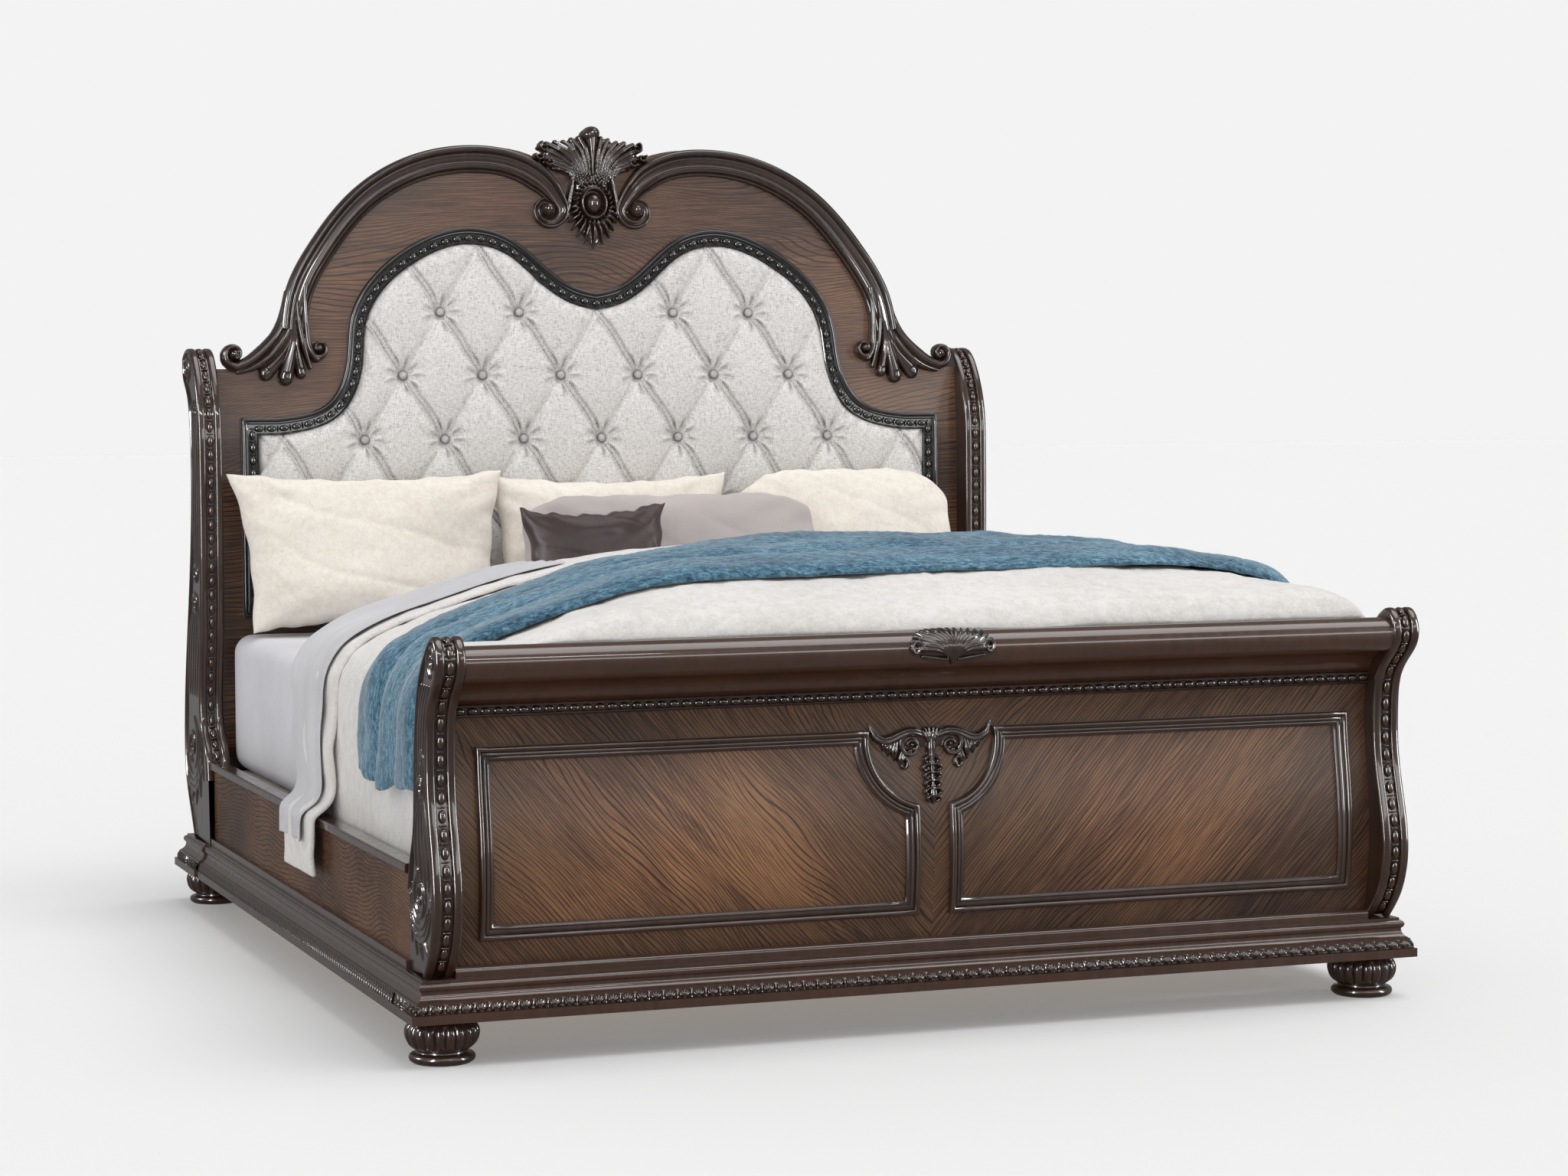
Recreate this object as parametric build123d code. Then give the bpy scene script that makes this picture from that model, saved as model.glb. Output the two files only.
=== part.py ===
from build123d import *
import os
from math import asin, atan, cos, degrees, radians, sin, tan

# King-size sleigh bed. X is the width, -Y the foot end, +Y the head end, +Z up.
# The origin is on the floor, under the middle of the bed's overall box.

# ---- driving dimensions, millimetres ----
BASE_HALF = 1092.0            # half width of the plinth at the rails and footboard
HEAD_BASE_EXTRA = 5.0         # the headboard's plinth stands this much wider
FOOT_Y = -1194.0              # front edge of the footboard's plinth
HEAD_Y = 1250.0               # back edge of the headboard's plinth
PLINTH_LOW = 88.0
PLINTH_HIGH = 169.0
FOOT_BASE_BACK = -1020.0
HEAD_BASE_FRONT = 985.0
MAT_GAP = 4.0                 # space left round a soft piece

FOOT_POST_X = (995.0, 1050.0)     # inner and outer faces of the footboard posts
HEAD_POST_X = (1004.0, 1059.0)
CARVING_THICK = 6.0               # carved skin on the posts' outer sides
CHANNEL_WIDTH = 22.0              # bead channel down the front of each post
CHANNEL_DEPTH = 8.0

HEAD_FACE_Y = 1080.0          # front face of the headboard where it is upright
HEAD_BEND_Z = 1080.0          # where it starts to lean back
HEAD_BEND_RADIUS = 1890.0
HEAD_LEAN = atan(0.128)
HEAD_THICK = 24.0
HEAD_BACK_THICK = 10.0
HEAD_TOP_Z = 2010.0

PANEL_THICK = 28.0            # footboard panel
ROLL_CENTRE = (-1217.0, 777.0)
ROLL_RADIUS = 36.0
PANEL_TOP_Z = 694.0

RAIL_X = (1022.0, 1048.0)
RAIL_Y = (-1015.0, 960.0)
RAIL_Z = (100.0, 356.0)
CAP_X = (1018.0, 1058.0)
CAP_TOP = 376.0
HOOK_THICK = 3.0

SLAT_COUNT = 13
SLAT_WIDTH = 90.0
SLAT_Z = (180.0, 200.0)
CLEAT_WIDTH = 25.0
BEAM_WIDTH = 60.0
BEAM_Z = (140.0, 180.0)
LEG_SIZE = 50.0
LEG_LOW = 25.0
LEG_YS = (-620.0, 0.0, 620.0)
STEM_RADIUS = 5.0
STEM_CLEARANCE = 1.0
STEM_TOP = 60.0
BORE_TOP = 85.0
PAD_RADIUS = 18.0
PAD_THICK = 6.0

BUTTON_PITCH = 209.6
BUTTON_RADIUS = 12.5
BUTTON_ROWS = {
    843.0: (0, 1, 2, 3),
    1006.0: (0.5, 1.5, 2.5, 3.5),
    1169.0: (0, 1, 2, 3),
    1332.0: (0.5, 1.5, 2.5),
    1494.0: (1, 2),
}
TRIM_WIDTH = 43.0
TRIM_PROUD = 16.0
PAD_PROUD = 18.0

MATTRESS_X = 985.0
MATTRESS_Y = (-1000.0, 1055.0)
BOX_SPRING_TOP = 345.0
MATTRESS_TOP = 690.0


# ---- helpers ----
def side_prism(outline, low, high):
    """An outline drawn as (y, z), made into a solid from x = low to x = high."""
    return extrude(Plane.YZ.offset(low) * outline, high - low)


def front_prism(outline, low, high):
    """An outline drawn as (x, z), made into a solid from y = low to y = high."""
    return extrude(Plane.XZ.offset(-high) * outline, high - low)


def block(x, y, z):
    """A box from three (low, high) pairs."""
    size = [pair[1] - pair[0] for pair in (x, y, z)]
    middle = [(pair[1] + pair[0]) / 2 for pair in (x, y, z)]
    return Pos(*middle) * Box(*size)


def shifted(curve, distance, count=16):
    """A copy of a plane curve, moved to its left by distance along its normals."""
    points = []
    for i in range(count + 1):
        at = curve @ (i / count)
        along = curve % (i / count)
        points.append((at.X - along.Y * distance, at.Y + along.X * distance))
    return Spline(*points)


def between(near, far):
    """The face between two curves that run the same way."""
    start = Line(near @ 0, far @ 0)
    end = Line(near @ 1, far @ 1)
    return make_face([near, far, start, end])


def closed(points):
    return make_face([Polyline(*points, close=True)])


def mirrored(points):
    """A half outline from the centre line outwards, completed on the other side."""
    return [(-x, z) for x, z in reversed(points)] + [p for p in points if p[0] > 0]


def both_sides(solid):
    return [solid, mirror(solid, about=Plane.YZ)]


# ---- plinth ----
def plinth_edge(side=1.0, edge=BASE_HALF, flat=0.0):
    """The plinth's moulded profile, as (across, z), from its outer edge to flat."""
    def at(inset, z):
        return (side * (edge - inset), z)

    low, high = PLINTH_LOW, PLINTH_HIGH
    wires = [
        Polyline((side * flat, low), at(0, low), at(0, low + 18), at(11, low + 18),
                 at(11, low + 39), at(15, low + 39), at(15, low + 41)),
        ThreePointArc(at(15, low + 41), at(22, low + 47), at(25, low + 57)),
        Line(at(25, low + 57), at(25, low + 60)),
        ThreePointArc(at(25, low + 60), at(20, low + 68), at(25, low + 76)),
        Polyline(at(25, low + 76), at(28, low + 76), at(28, high), (side * flat, high)),
        Line((side * flat, high), (side * flat, low)),
    ]
    return make_face(wires)


def band_edge(side, edge, flat):
    """The carved band's rounded profile, run back to flat."""
    low = PLINTH_LOW + 18
    wires = [
        Polyline((side * flat, low), (side * (edge - 4), low), (side * (edge - 4), low + 2)),
        ThreePointArc((side * (edge - 4), low + 2), (side * (edge - 6), low + 12),
                      (side * (edge - 11), low + 20)),
        Line((side * (edge - 11), low + 20), (side * flat, low + 20)),
        Line((side * flat, low + 20), (side * flat, low)),
    ]
    return make_face(wires)


def across_plinth(profile, half, y_low, y_high):
    """The profile on both long edges of a plinth block that runs across the bed."""
    right = extrude(Plane.XZ.offset(-y_high) * profile(1, half, 0), y_high - y_low)
    return right + mirror(right, about=Plane.YZ)


def end_block(profile, half, y_edge, y_flat):
    """A plinth block that is moulded at both ends and on its face at y_edge."""
    side = -1 if y_edge < 0 else 1
    face = side_prism(profile(side, abs(y_edge), abs(y_flat)), -half - 1, half + 1)
    low, high = sorted((y_edge, y_flat))
    return face & across_plinth(profile, half, low, high)


def core(half, y_edge, y_flat, inset=11.0):
    """What lies inside a carved band."""
    side = -1 if y_edge < 0 else 1
    low, high = sorted((y_edge - side * inset, y_flat))
    z = (PLINTH_LOW + 18, PLINTH_LOW + 39)
    return block((-half + inset, half - inset), (low, high), z)


head_half = BASE_HALF + HEAD_BASE_EXTRA
footboard_base = end_block(plinth_edge, BASE_HALF, FOOT_Y, FOOT_BASE_BACK)
footboard_band = end_block(band_edge, BASE_HALF, FOOT_Y, FOOT_BASE_BACK)
footboard_band = footboard_band - core(BASE_HALF, FOOT_Y, FOOT_BASE_BACK)
headboard_base = end_block(plinth_edge, head_half, HEAD_Y, HEAD_BASE_FRONT)
headboard_band = end_block(band_edge, head_half, HEAD_Y, HEAD_BASE_FRONT)
headboard_band = headboard_band - core(head_half, HEAD_Y, HEAD_BASE_FRONT)

rail_span = HEAD_BASE_FRONT - FOOT_BASE_BACK
rail_plinth = extrude(
    Plane.XZ.offset(-HEAD_BASE_FRONT) * plinth_edge(1, BASE_HALF, RAIL_X[1]), rail_span)
bead = block((RAIL_X[1], RAIL_X[1] + 10), (FOOT_BASE_BACK + 4, RAIL_Y[1]),
             (PLINTH_HIGH, PLINTH_HIGH + 17))
rail_plinth = rail_plinth + bead
rail_band = extrude(
    Plane.XZ.offset(-HEAD_BASE_FRONT) * band_edge(1, BASE_HALF, RAIL_X[1]), rail_span)
rail_band = rail_band - block((RAIL_X[1] - 1, BASE_HALF - 11),
                              (FOOT_BASE_BACK - 1, HEAD_BASE_FRONT + 1), (100, 130))


# ---- feet ----
def bun_foot():
    """A turned foot: a flat ring, a neck and a round bulb."""
    half = make_face([
        Polyline((0, PLINTH_LOW), (0, 0), (58, 0)),
        ThreePointArc((58, 0), (63, 10), (58, 20)),
        Polyline((58, 20), (50, 20), (50, 25)),
        ThreePointArc((50, 25), (74, 56), (60, 85)),
        Polyline((60, 85), (58, PLINTH_LOW), (0, PLINTH_LOW)),
    ])
    return revolve(Plane.XZ * half, Axis.Z)


FOOT_X = 1010.0
FRONT_FOOT_Y = -1102.0
BACK_FOOT_Y = 1158.0
foot_places = {
    "bun_foot_front_left": (-FOOT_X, FRONT_FOOT_Y),
    "bun_foot_front_right": (FOOT_X, FRONT_FOOT_Y),
    "bun_foot_back_left": (-FOOT_X, BACK_FOOT_Y),
    "bun_foot_back_right": (FOOT_X, BACK_FOOT_Y),
}


# ---- posts ----
def post_parts(front, back, foot, inner, outer):
    """A post, its bead strip and its carved side skin, from its two S-curves and its foot."""
    outline = make_face([front, back, foot])
    post = side_prism(outline, inner, outer)
    middle = (inner + outer + CARVING_THICK) / 2
    low, high = middle - CHANNEL_WIDTH / 2, middle + CHANNEL_WIDTH / 2
    floor = shifted(front, -CHANNEL_DEPTH)
    channel = side_prism(between(front, floor), low, high)
    strip = between(shifted(front, 3 - CHANNEL_DEPTH), floor)
    strip = side_prism(strip, low + 0.5, high - 0.5)
    skin = side_prism(outline, outer, outer + CARVING_THICK)
    return post - channel, strip, skin


foot_front = Spline(
    (-1144, PLINTH_HIGH), (-1190, 222), (-1221, 320), (-1205, 420), (-1179, 530),
    (-1176, 620), (-1190, 690), (-1230, 733), (-1256, 765), (-1254, 808), (-1224, 833),
    (-1190, 820))
foot_back = Spline((-1190, 820), (-1150, 786), (-1112, 735), (-1088, 660), (-1072, 530),
                   (-1060, 440), (-1032, 380), (-1018, 330))
foot_foot = Polyline(foot_back @ 1, (-1018, PLINTH_HIGH), foot_front @ 0)
foot_post, foot_strip, foot_side = post_parts(foot_front, foot_back, foot_foot, *FOOT_POST_X)

head_front = Spline(
    (966, 330), (990, 405), (1040, 460), (1053, 530), (1034, 650),
    (1018, 800), (1015, 960), (1016, 1130), (1029, 1255), (1066, 1335), (1128, 1396),
    (1184, 1399), (1222, 1380))
head_back = Spline((1222, 1380), (1222, 1335), (1170, 1285), (1138, 1210), (1128, 1100),
                   (1140, 960), (1178, 790), (1242, 570), (1263.3, 440), (1250, 310),
                   (1196, 230), (1150, PLINTH_HIGH))
head_foot = Polyline(head_back @ 1, (966, PLINTH_HIGH), head_front @ 0)
head_post, head_strip, head_side = post_parts(head_front, head_back, head_foot, *HEAD_POST_X)


# ---- footboard ----
panel_front = Spline(
    (-1134, PLINTH_HIGH), (-1147, 240), (-1158, 345), (-1149, 470), (-1133, 590),
    (-1134, 640), (-1150, PANEL_TOP_Z))
panel_back = shifted(panel_front, -PANEL_THICK)
half_panel = FOOT_POST_X[0]
footboard_panel = side_prism(between(panel_front, panel_back), -half_panel, half_panel)


def on_panel(outline, proud):
    """A front outline laid on the footboard's curved face, standing proud of it."""
    skin = side_prism(between(shifted(panel_front, proud), panel_front), -half_panel, half_panel)
    return front_prism(outline, -1260, -1100) & skin


def roll_outline():
    """The rolled top rail: a round nose, a cove below it and a sloping back."""
    cy, cz = ROLL_CENTRE
    r = ROLL_RADIUS
    under = (cy - r * sin(radians(20)), cz - r * cos(radians(20)))
    crown = (cy + r * sin(radians(20)), cz + r * cos(radians(20)))
    lip = panel_front @ 1
    heel = panel_back @ 1
    return make_face([
        ThreePointArc(under, (cy - r, cz), crown),
        Spline(crown, (-1160, 785), (-1135, 742), heel),
        Line(heel, lip),
        ThreePointArc(lip, (-1176, 728), under),
    ])


top_roll = side_prism(roll_outline(), -half_panel, half_panel)

STRIP_Z = (669.0, PANEL_TOP_Z)
strip_face = closed([(-half_panel, STRIP_Z[0]), (half_panel, STRIP_Z[0]),
                     (half_panel, STRIP_Z[1]), (-half_panel, STRIP_Z[1])])
bead_strip = on_panel(strip_face, 12)

FRAME = {"outer": 949.0, "top": 612.0, "bottom": 236.0, "inner_top": 134.0,
         "inner_low": 33.0, "notch": 462.0}
FRAME_WIDTH = 30.0


def frame_outline(inset):
    """A panel frame whose upper inner corner is cut by a hollow quarter round."""
    left = FRAME["inner_low"] + inset
    right = FRAME["outer"] - inset
    low, high = FRAME["bottom"] + inset, FRAME["top"] - inset
    top_left = FRAME["inner_top"] + inset
    notch = FRAME["notch"] - inset
    reach = top_left - left
    drop = high - notch
    hollow = (left + reach * 0.80, notch + drop * 0.36)
    return make_face([
        Polyline((left, notch), (left, low), (right, low), (right, high), (top_left, high)),
        ThreePointArc((top_left, high), hollow, (left, notch)),
    ])


frame_face = frame_outline(0) - frame_outline(FRAME_WIDTH)
frame_right = on_panel(frame_face, 17)

APPLIQUE_HALF = [(0, 608), (24, 600), (60, 606), (100, 612), (135, 628), (112, 590),
                 (84, 558), (52, 545), (26, 556), (22, 520), (16, 490), (0, 462)]
applique = on_panel(closed(mirrored(APPLIQUE_HALF)), 14)

shell_block = side_prism(Pos(*ROLL_CENTRE) * Circle(ROLL_RADIUS + 12)
                         - Pos(*ROLL_CENTRE) * Circle(ROLL_RADIUS), -98, 98)
shell_mask = front_prism(Pos(0, 785) * Ellipse(98, 38), -1300, ROLL_CENTRE[0] + 8)
shell_carving = shell_block & shell_mask

bead_face = make_face([
    Polyline((-1130, PLINTH_HIGH), (-1156, PLINTH_HIGH), (-1156, 180)),
    ThreePointArc((-1156, 180), (-1152, 187), (-1146, 189)),
    Polyline((-1146, 189), (-1130, 189), (-1130, PLINTH_HIGH)),
])
inner_bead = side_prism(bead_face, -half_panel, half_panel) - footboard_panel
inner_bead = inner_bead.solids().sort_by(Axis.Y)[0]


# ---- headboard ----
def lean_curve(proud):
    """The headboard's face as (y, z), moved forward by proud: upright, bent, leaning."""
    radius = HEAD_BEND_RADIUS + proud
    centre = (HEAD_FACE_Y + HEAD_BEND_RADIUS, HEAD_BEND_Z)
    bend_end = (centre[0] - radius * cos(HEAD_LEAN), centre[1] + radius * sin(HEAD_LEAN))
    mid = (centre[0] - radius * cos(HEAD_LEAN / 2), centre[1] + radius * sin(HEAD_LEAN / 2))
    top_y = bend_end[0] + (HEAD_TOP_Z - bend_end[1]) * tan(HEAD_LEAN)
    face_y = HEAD_FACE_Y - proud
    return [Line((face_y, PLINTH_HIGH), (face_y, HEAD_BEND_Z)),
            ThreePointArc((face_y, HEAD_BEND_Z), mid, bend_end),
            Line(bend_end, (top_y, HEAD_TOP_Z))]


def head_layer(outline, proud, behind):
    """A front outline cut from a layer of the leaning headboard."""
    near, far = lean_curve(proud), lean_curve(-behind)
    ends = [Line(near[0] @ 0, far[0] @ 0), Line(near[-1] @ 1, far[-1] @ 1)]
    layer = side_prism(make_face(near + far + ends), -1100, 1100)
    return front_prism(outline, 900, 1400) & layer


def mirror_face(half):
    return half + mirror(half, about=Plane.YZ)


def half_face(edges, low, high):
    """A half outline closed along the centre line, from z = low to z = high."""
    return make_face(edges + [Line((0, low), (0, high))])


HEAD_LOW_Z = 400.0
SHOULDER_Z = 1350.0
board_half = half_face([
    Polyline((0, HEAD_LOW_Z), (HEAD_POST_X[0], HEAD_LOW_Z), (HEAD_POST_X[0], SHOULDER_Z),
             (955, SHOULDER_Z)),
    Spline((955, SHOULDER_Z), (892, 1380), (846, 1438), (815, 1532), (740, 1674), (625, 1800),
           (480, 1887), (310, 1922), (161, 1904), (70, 1862), (0, 1850)),
], HEAD_LOW_Z, 1850)


UPHOLSTERY_EDGE = [(850, 1227), (719, 1266), (672, 1363), (655, 1482), (588, 1590), (470, 1675),
                   (335, 1712), (220, 1682), (115, 1597), (50, 1557), (0, 1545)]
UPHOLSTERY_INNER = [(850, 1184), (693, 1232), (630, 1352), (614, 1469), (557, 1561), (450, 1637),
                    (335, 1669), (246, 1648), (143, 1565), (62, 1515), (0, 1502)]


def upholstery_half(inset):
    """Half the upholstery's shouldered, double-lobed outline, moved inwards."""
    share = inset / TRIM_WIDTH
    points = [(a + (c - a) * share, b + (d - b) * share)
              for (a, b), (c, d) in zip(UPHOLSTERY_EDGE, UPHOLSTERY_INNER)]
    edge = Spline(*points, tangents=[(-1, 0), (-1, -0.1)])
    low, outer = 726 + inset, 945 - inset
    sides = Polyline((0, low), (outer, low), (outer, points[0][1]), points[0])
    return half_face([sides, edge], low, points[-1][1])


upholstery_outer = mirror_face(upholstery_half(0))
upholstery_inner = mirror_face(upholstery_half(TRIM_WIDTH))
cut_outline = mirror_face(upholstery_half(14))
pad_outline = mirror_face(upholstery_half(TRIM_WIDTH + 3))

board = mirror_face(board_half)
headboard_panel = head_layer(board - cut_outline, 0, HEAD_THICK)
back_skin = head_layer(board, -HEAD_THICK, HEAD_THICK + HEAD_BACK_THICK)
trim_ring = head_layer(upholstery_outer - upholstery_inner, TRIM_PROUD, 0)
tufted_pad = head_layer(pad_outline, PAD_PROUD, HEAD_THICK) - trim_ring
tufted_pad = tufted_pad.solids().sort_by(SortBy.VOLUME)[-1]


def face_point(z, proud):
    """The y of the headboard's face at height z, and its lean there."""
    rise = z - HEAD_BEND_Z
    if rise <= 0:
        return HEAD_FACE_Y - proud, 0.0
    lean = min(asin(min(rise / HEAD_BEND_RADIUS, 1)), HEAD_LEAN)
    y = HEAD_FACE_Y + HEAD_BEND_RADIUS * (1 - cos(lean))
    y += (rise - HEAD_BEND_RADIUS * sin(lean)) * tan(lean)
    return y - proud / cos(lean), degrees(lean)


def tufting_buttons():
    buttons = []
    for z, steps in BUTTON_ROWS.items():
        y, lean = face_point(z, PAD_PROUD + 0.4)
        button = Cylinder(BUTTON_RADIUS, 6, align=(Align.CENTER, Align.CENTER, Align.MIN))
        for step in steps:
            for side in {step, -step}:
                place = Pos(side * BUTTON_PITCH, y, z) * Rot(90 - lean, 0, 0)
                buttons.append(place * button)
    return buttons


VOLUTE = (120.0, 1761.0)
arch_path = Spline((803, 1446), (788, 1530), (722, 1652), (614, 1778), (464, 1864), (316, 1889),
                   (190, 1868), (112, 1812))
arch_face = trace(arch_path, 70) + Pos(*VOLUTE) * Circle(45)
arch_right = head_layer(arch_face, 32, 0)

shoulder_face = make_face([
    Spline((752, 1372), (760, 1345), (790, 1330), (830, 1319), (880, 1328), (925, 1350)),
    Polyline((925, 1350), (930, 1392), (890, 1396), (850, 1440), (780, 1440), (752, 1372)),
])
shoulder_face = shoulder_face + Pos(961, 1382) * Circle(35) + Pos(738, 1398) * Circle(27)
shoulder_right = head_layer(shoulder_face, 36, 0) - arch_right

CREST_HALF = [(0, 1982), (26, 1972), (50, 1945), (100, 1935), (150, 1915), (118, 1880),
              (74, 1852), (44, 1815), (54, 1772), (66, 1730), (36, 1690), (0, 1665)]
crest = head_layer(closed(mirrored(CREST_HALF)), 55, 0)
crest = crest - arch_right - mirror(arch_right, about=Plane.YZ)

lower_rail = block((-HEAD_POST_X[0], HEAD_POST_X[0]), (HEAD_FACE_Y, HEAD_FACE_Y + 34),
                   (PLINTH_HIGH, HEAD_LOW_Z))


# ---- rails, deck and centre support ----
side_rail = block(RAIL_X, RAIL_Y, RAIL_Z)
rail_cap = block(CAP_X, (RAIL_Y[0] + 3, RAIL_Y[1]), (RAIL_Z[1], CAP_TOP))
rail_cap = fillet(rail_cap.edges().filter_by(Axis.Y), 5)
hooks = []
for end_low in (RAIL_Y[0] - HOOK_THICK, RAIL_Y[1]):
    plate = block((RAIL_X[0] + 2, RAIL_X[1] - 2), (end_low, end_low + HOOK_THICK), (190, 320))
    hooks += both_sides(plate)

cleat = block((RAIL_X[0] - CLEAT_WIDTH, RAIL_X[0]), (-980, 955), (155, SLAT_Z[0]))
slats = []
for i in range(SLAT_COUNT):
    slat_y = -900 + i * 1800 / (SLAT_COUNT - 1)
    slats.append(block((-RAIL_X[0] + 3, RAIL_X[0] - 3),
                       (slat_y - SLAT_WIDTH / 2, slat_y + SLAT_WIDTH / 2), SLAT_Z))
centre_beam = block((-BEAM_WIDTH / 2, BEAM_WIDTH / 2), (FOOT_BASE_BACK, HEAD_BASE_FRONT), BEAM_Z)


def centre_leg(y):
    half = LEG_SIZE / 2
    leg = block((-half, half), (y - half, y + half), (LEG_LOW, BEAM_Z[0]))
    bore = Cylinder(STEM_RADIUS + STEM_CLEARANCE, BORE_TOP - LEG_LOW,
                    align=(Align.CENTER, Align.CENTER, Align.MIN))
    return leg - Pos(0, y, LEG_LOW) * bore


def levelling_glide(y):
    """A round pad on a stem that screws up into a centre leg."""
    low = (Align.CENTER, Align.CENTER, Align.MIN)
    pad = Cylinder(PAD_RADIUS, PAD_THICK, align=low)
    stem = Pos(0, 0, PAD_THICK) * Cylinder(STEM_RADIUS, STEM_TOP - PAD_THICK, align=low)
    return Pos(0, y, 0) * (pad + stem)


# ---- bedding ----
def cushion(x, y, z, radius):
    body = block(x, y, z)
    return fillet(body.edges(), radius)


box_spring = cushion((-MATTRESS_X + 10, MATTRESS_X - 10), MATTRESS_Y, (SLAT_Z[1], BOX_SPRING_TOP), 8)
mattress = cushion((-MATTRESS_X, MATTRESS_X), MATTRESS_Y, (BOX_SPRING_TOP, MATTRESS_TOP), 40)

DUVET_Y = (-1140.0, 300.0)
DUVET_SIDE = 1012.0
DUVET_LOW = 352.0
dome = Spline((-DUVET_SIDE, 520), (-1009, 620), (-998, 692), (-964, 745), (-912, 778), (-850, 803),
              (-730, 842), (-600, 880), (-450, 912), (-300, 932), (-150, 946), (0, 951), (150, 949),
              (350, 940), (550, 927), (750, 905), (900, 878), (975, 848), (1005, 796), (1010, 700),
              tangents=[(0, 1), (0, -1)])
deck_z = MATTRESS_TOP + MAT_GAP
side_x = MATTRESS_X + MAT_GAP
duvet_face = make_face([
    dome,
    Polyline((1010, 700), (MATTRESS_X, deck_z), (40 - MATTRESS_X, deck_z), (9 - side_x, deck_z - 10),
             (-side_x, deck_z - 42), (-side_x, DUVET_LOW), (-DUVET_SIDE, DUVET_LOW),
             (-DUVET_SIDE, 520)),
])
duvet_fall = Spline((DUVET_Y[0], 808), (-1115, 842), (-1060, 872), (-980, 893), (-900, 908),
                    (-700, 934), (-480, 957), (-250, 960), (0, 950), (150, 930), (250, 880),
                    (DUVET_Y[1], 770))
duvet_mask = side_prism(make_face([
    duvet_fall,
    Polyline(duvet_fall @ 1, (DUVET_Y[1], DUVET_LOW), (DUVET_Y[0], DUVET_LOW), duvet_fall @ 0),
]), -1100, 1100)
duvet = front_prism(duvet_face, *DUVET_Y) & duvet_mask
footboard_side = block((-1020, 1020), (-1200, MATTRESS_Y[0] - 2), (300, 804))
duvet = duvet - footboard_side
FLAP_Y = (-270.0, -100.0)
duvet_flap = closed([(-1059, 251), (-1064, 251), (-1064, 388), (-1011, 450), (-1000, 450),
                     (-1000, 436), (-1011, 436), (-1059, 380)])
duvet = duvet + front_prism(duvet_flap, *FLAP_Y)


def under_cover(grow):
    """Everything below the duvet's top, grown outwards by that much."""
    faces = []
    for curve in (dome, duvet_fall):
        top = shifted(curve, grow, 40)
        start, end = top @ 0, top @ 1
        base = Polyline(end, (end.X, DUVET_LOW), (start.X, DUVET_LOW), start)
        faces.append(make_face([top, base]))
    return front_prism(faces[0], -1300, 500) & side_prism(faces[1], -1200, 1200)


def over_duvet(gap, thick, x, y, z):
    """A cloth that follows the duvet's top a little above it, within a box."""
    return (under_cover(gap + thick) - under_cover(gap)) & block(x, y, z)


throw_blanket = over_duvet(3, 8, (-1100, 985), (-960, -480), (505, 1000))

SHEET_Y = (-270.0, 290.0)
sheet_top = over_duvet(4, 5, (-1100, -560), SHEET_Y, (480, 1000))
sheet_hang = closed([(-1021, 490), (-1016, 490), (-1016, 478), (-1066, 392), (-1066, 320),
                     (-1072, 320), (-1072, 395)])
flat_sheet = sheet_top + front_prism(sheet_hang, *SHEET_Y)


def pillow(width, height, thick, x, y, z, lean, turn=0.0):
    """A pillow standing on its long edge and leaning back; (x, y, z) is its lower middle."""
    body = fillet(Box(width, thick, height).edges(), thick * 0.38)
    return Pos(x, y, z) * Rot(-lean, 0, turn) * Pos(0, 0, height / 2) * body


cream_pillows = [
    pillow(660, 400, 150, -650, 870, 705, 14),
    pillow(620, 380, 130, -2, 903, 705, 12),
    pillow(600, 390, 130, 630, 900, 705, 12),
]
grey_pillow = pillow(720, 330, 110, 150, 755, 705, 12)
accent_cushion = pillow(370, 290, 90, -135, 642, 705, 12)


# ---- writing the parts ----
parts = {
    "footboard_base": footboard_base,
    "footboard_carved_band": footboard_band,
    "footboard_base_bead": inner_bead,
    "footboard_panel": footboard_panel,
    "footboard_top_roll": top_roll,
    "footboard_bead_strip": bead_strip,
    "panel_frame_right": frame_right,
    "panel_frame_left": mirror(frame_right, about=Plane.YZ),
    "footboard_applique": applique,
    "roll_shell_carving": shell_carving,
    "footboard_post_beads": both_sides(foot_strip),
    "footboard_post_carvings": both_sides(foot_side),
    "headboard_base": headboard_base,
    "headboard_carved_band": headboard_band,
    "headboard_panel": headboard_panel,
    "headboard_back_panel": back_skin,
    "headboard_lower_rail": lower_rail,
    "headboard_post_beads": both_sides(head_strip),
    "headboard_post_carvings": both_sides(head_side),
    "upholstery_frame_moulding": trim_ring,
    "tufted_panel": tufted_pad,
    "tufting_buttons": tufting_buttons(),
    "crest_carving": crest,
    "rail_carved_bands": both_sides(rail_band),
    "rail_hook_plates": hooks,
    "slat_cleats": both_sides(cleat),
    "slats": slats,
    "centre_beam": centre_beam,
    "centre_legs": [centre_leg(y) for y in LEG_YS],
    "box_spring": box_spring,
    "mattress": mattress,
    "duvet": duvet,
    "throw_blanket": throw_blanket,
    "flat_sheet": flat_sheet,
    "cream_pillows": cream_pillows,
    "grey_pillow": grey_pillow,
    "accent_cushion": accent_cushion,
}
for name, (foot_x, foot_y) in foot_places.items():
    parts[name] = Pos(foot_x, foot_y, 0) * bun_foot()
for name, y in zip(("front", "middle", "rear"), LEG_YS):
    parts["levelling_glide_" + name] = levelling_glide(y)
for name, solid in {
    "footboard_post": foot_post, "headboard_post": head_post, "arch_moulding": arch_right,
    "shoulder_carving": shoulder_right, "side_rail": side_rail, "rail_cap": rail_cap,
    "rail_base": rail_plinth,
}.items():
    parts[name + "_right"], parts[name + "_left"] = both_sides(solid)

os.makedirs("parts", exist_ok=True)
for name, shape in parts.items():
    solids = shape if isinstance(shape, list) else shape.solids()
    whole = solids[0] if len(solids) == 1 else Compound(children=list(solids))
    export_step(whole, f"parts/{name}.step")
print(len(parts), "nodes")
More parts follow.
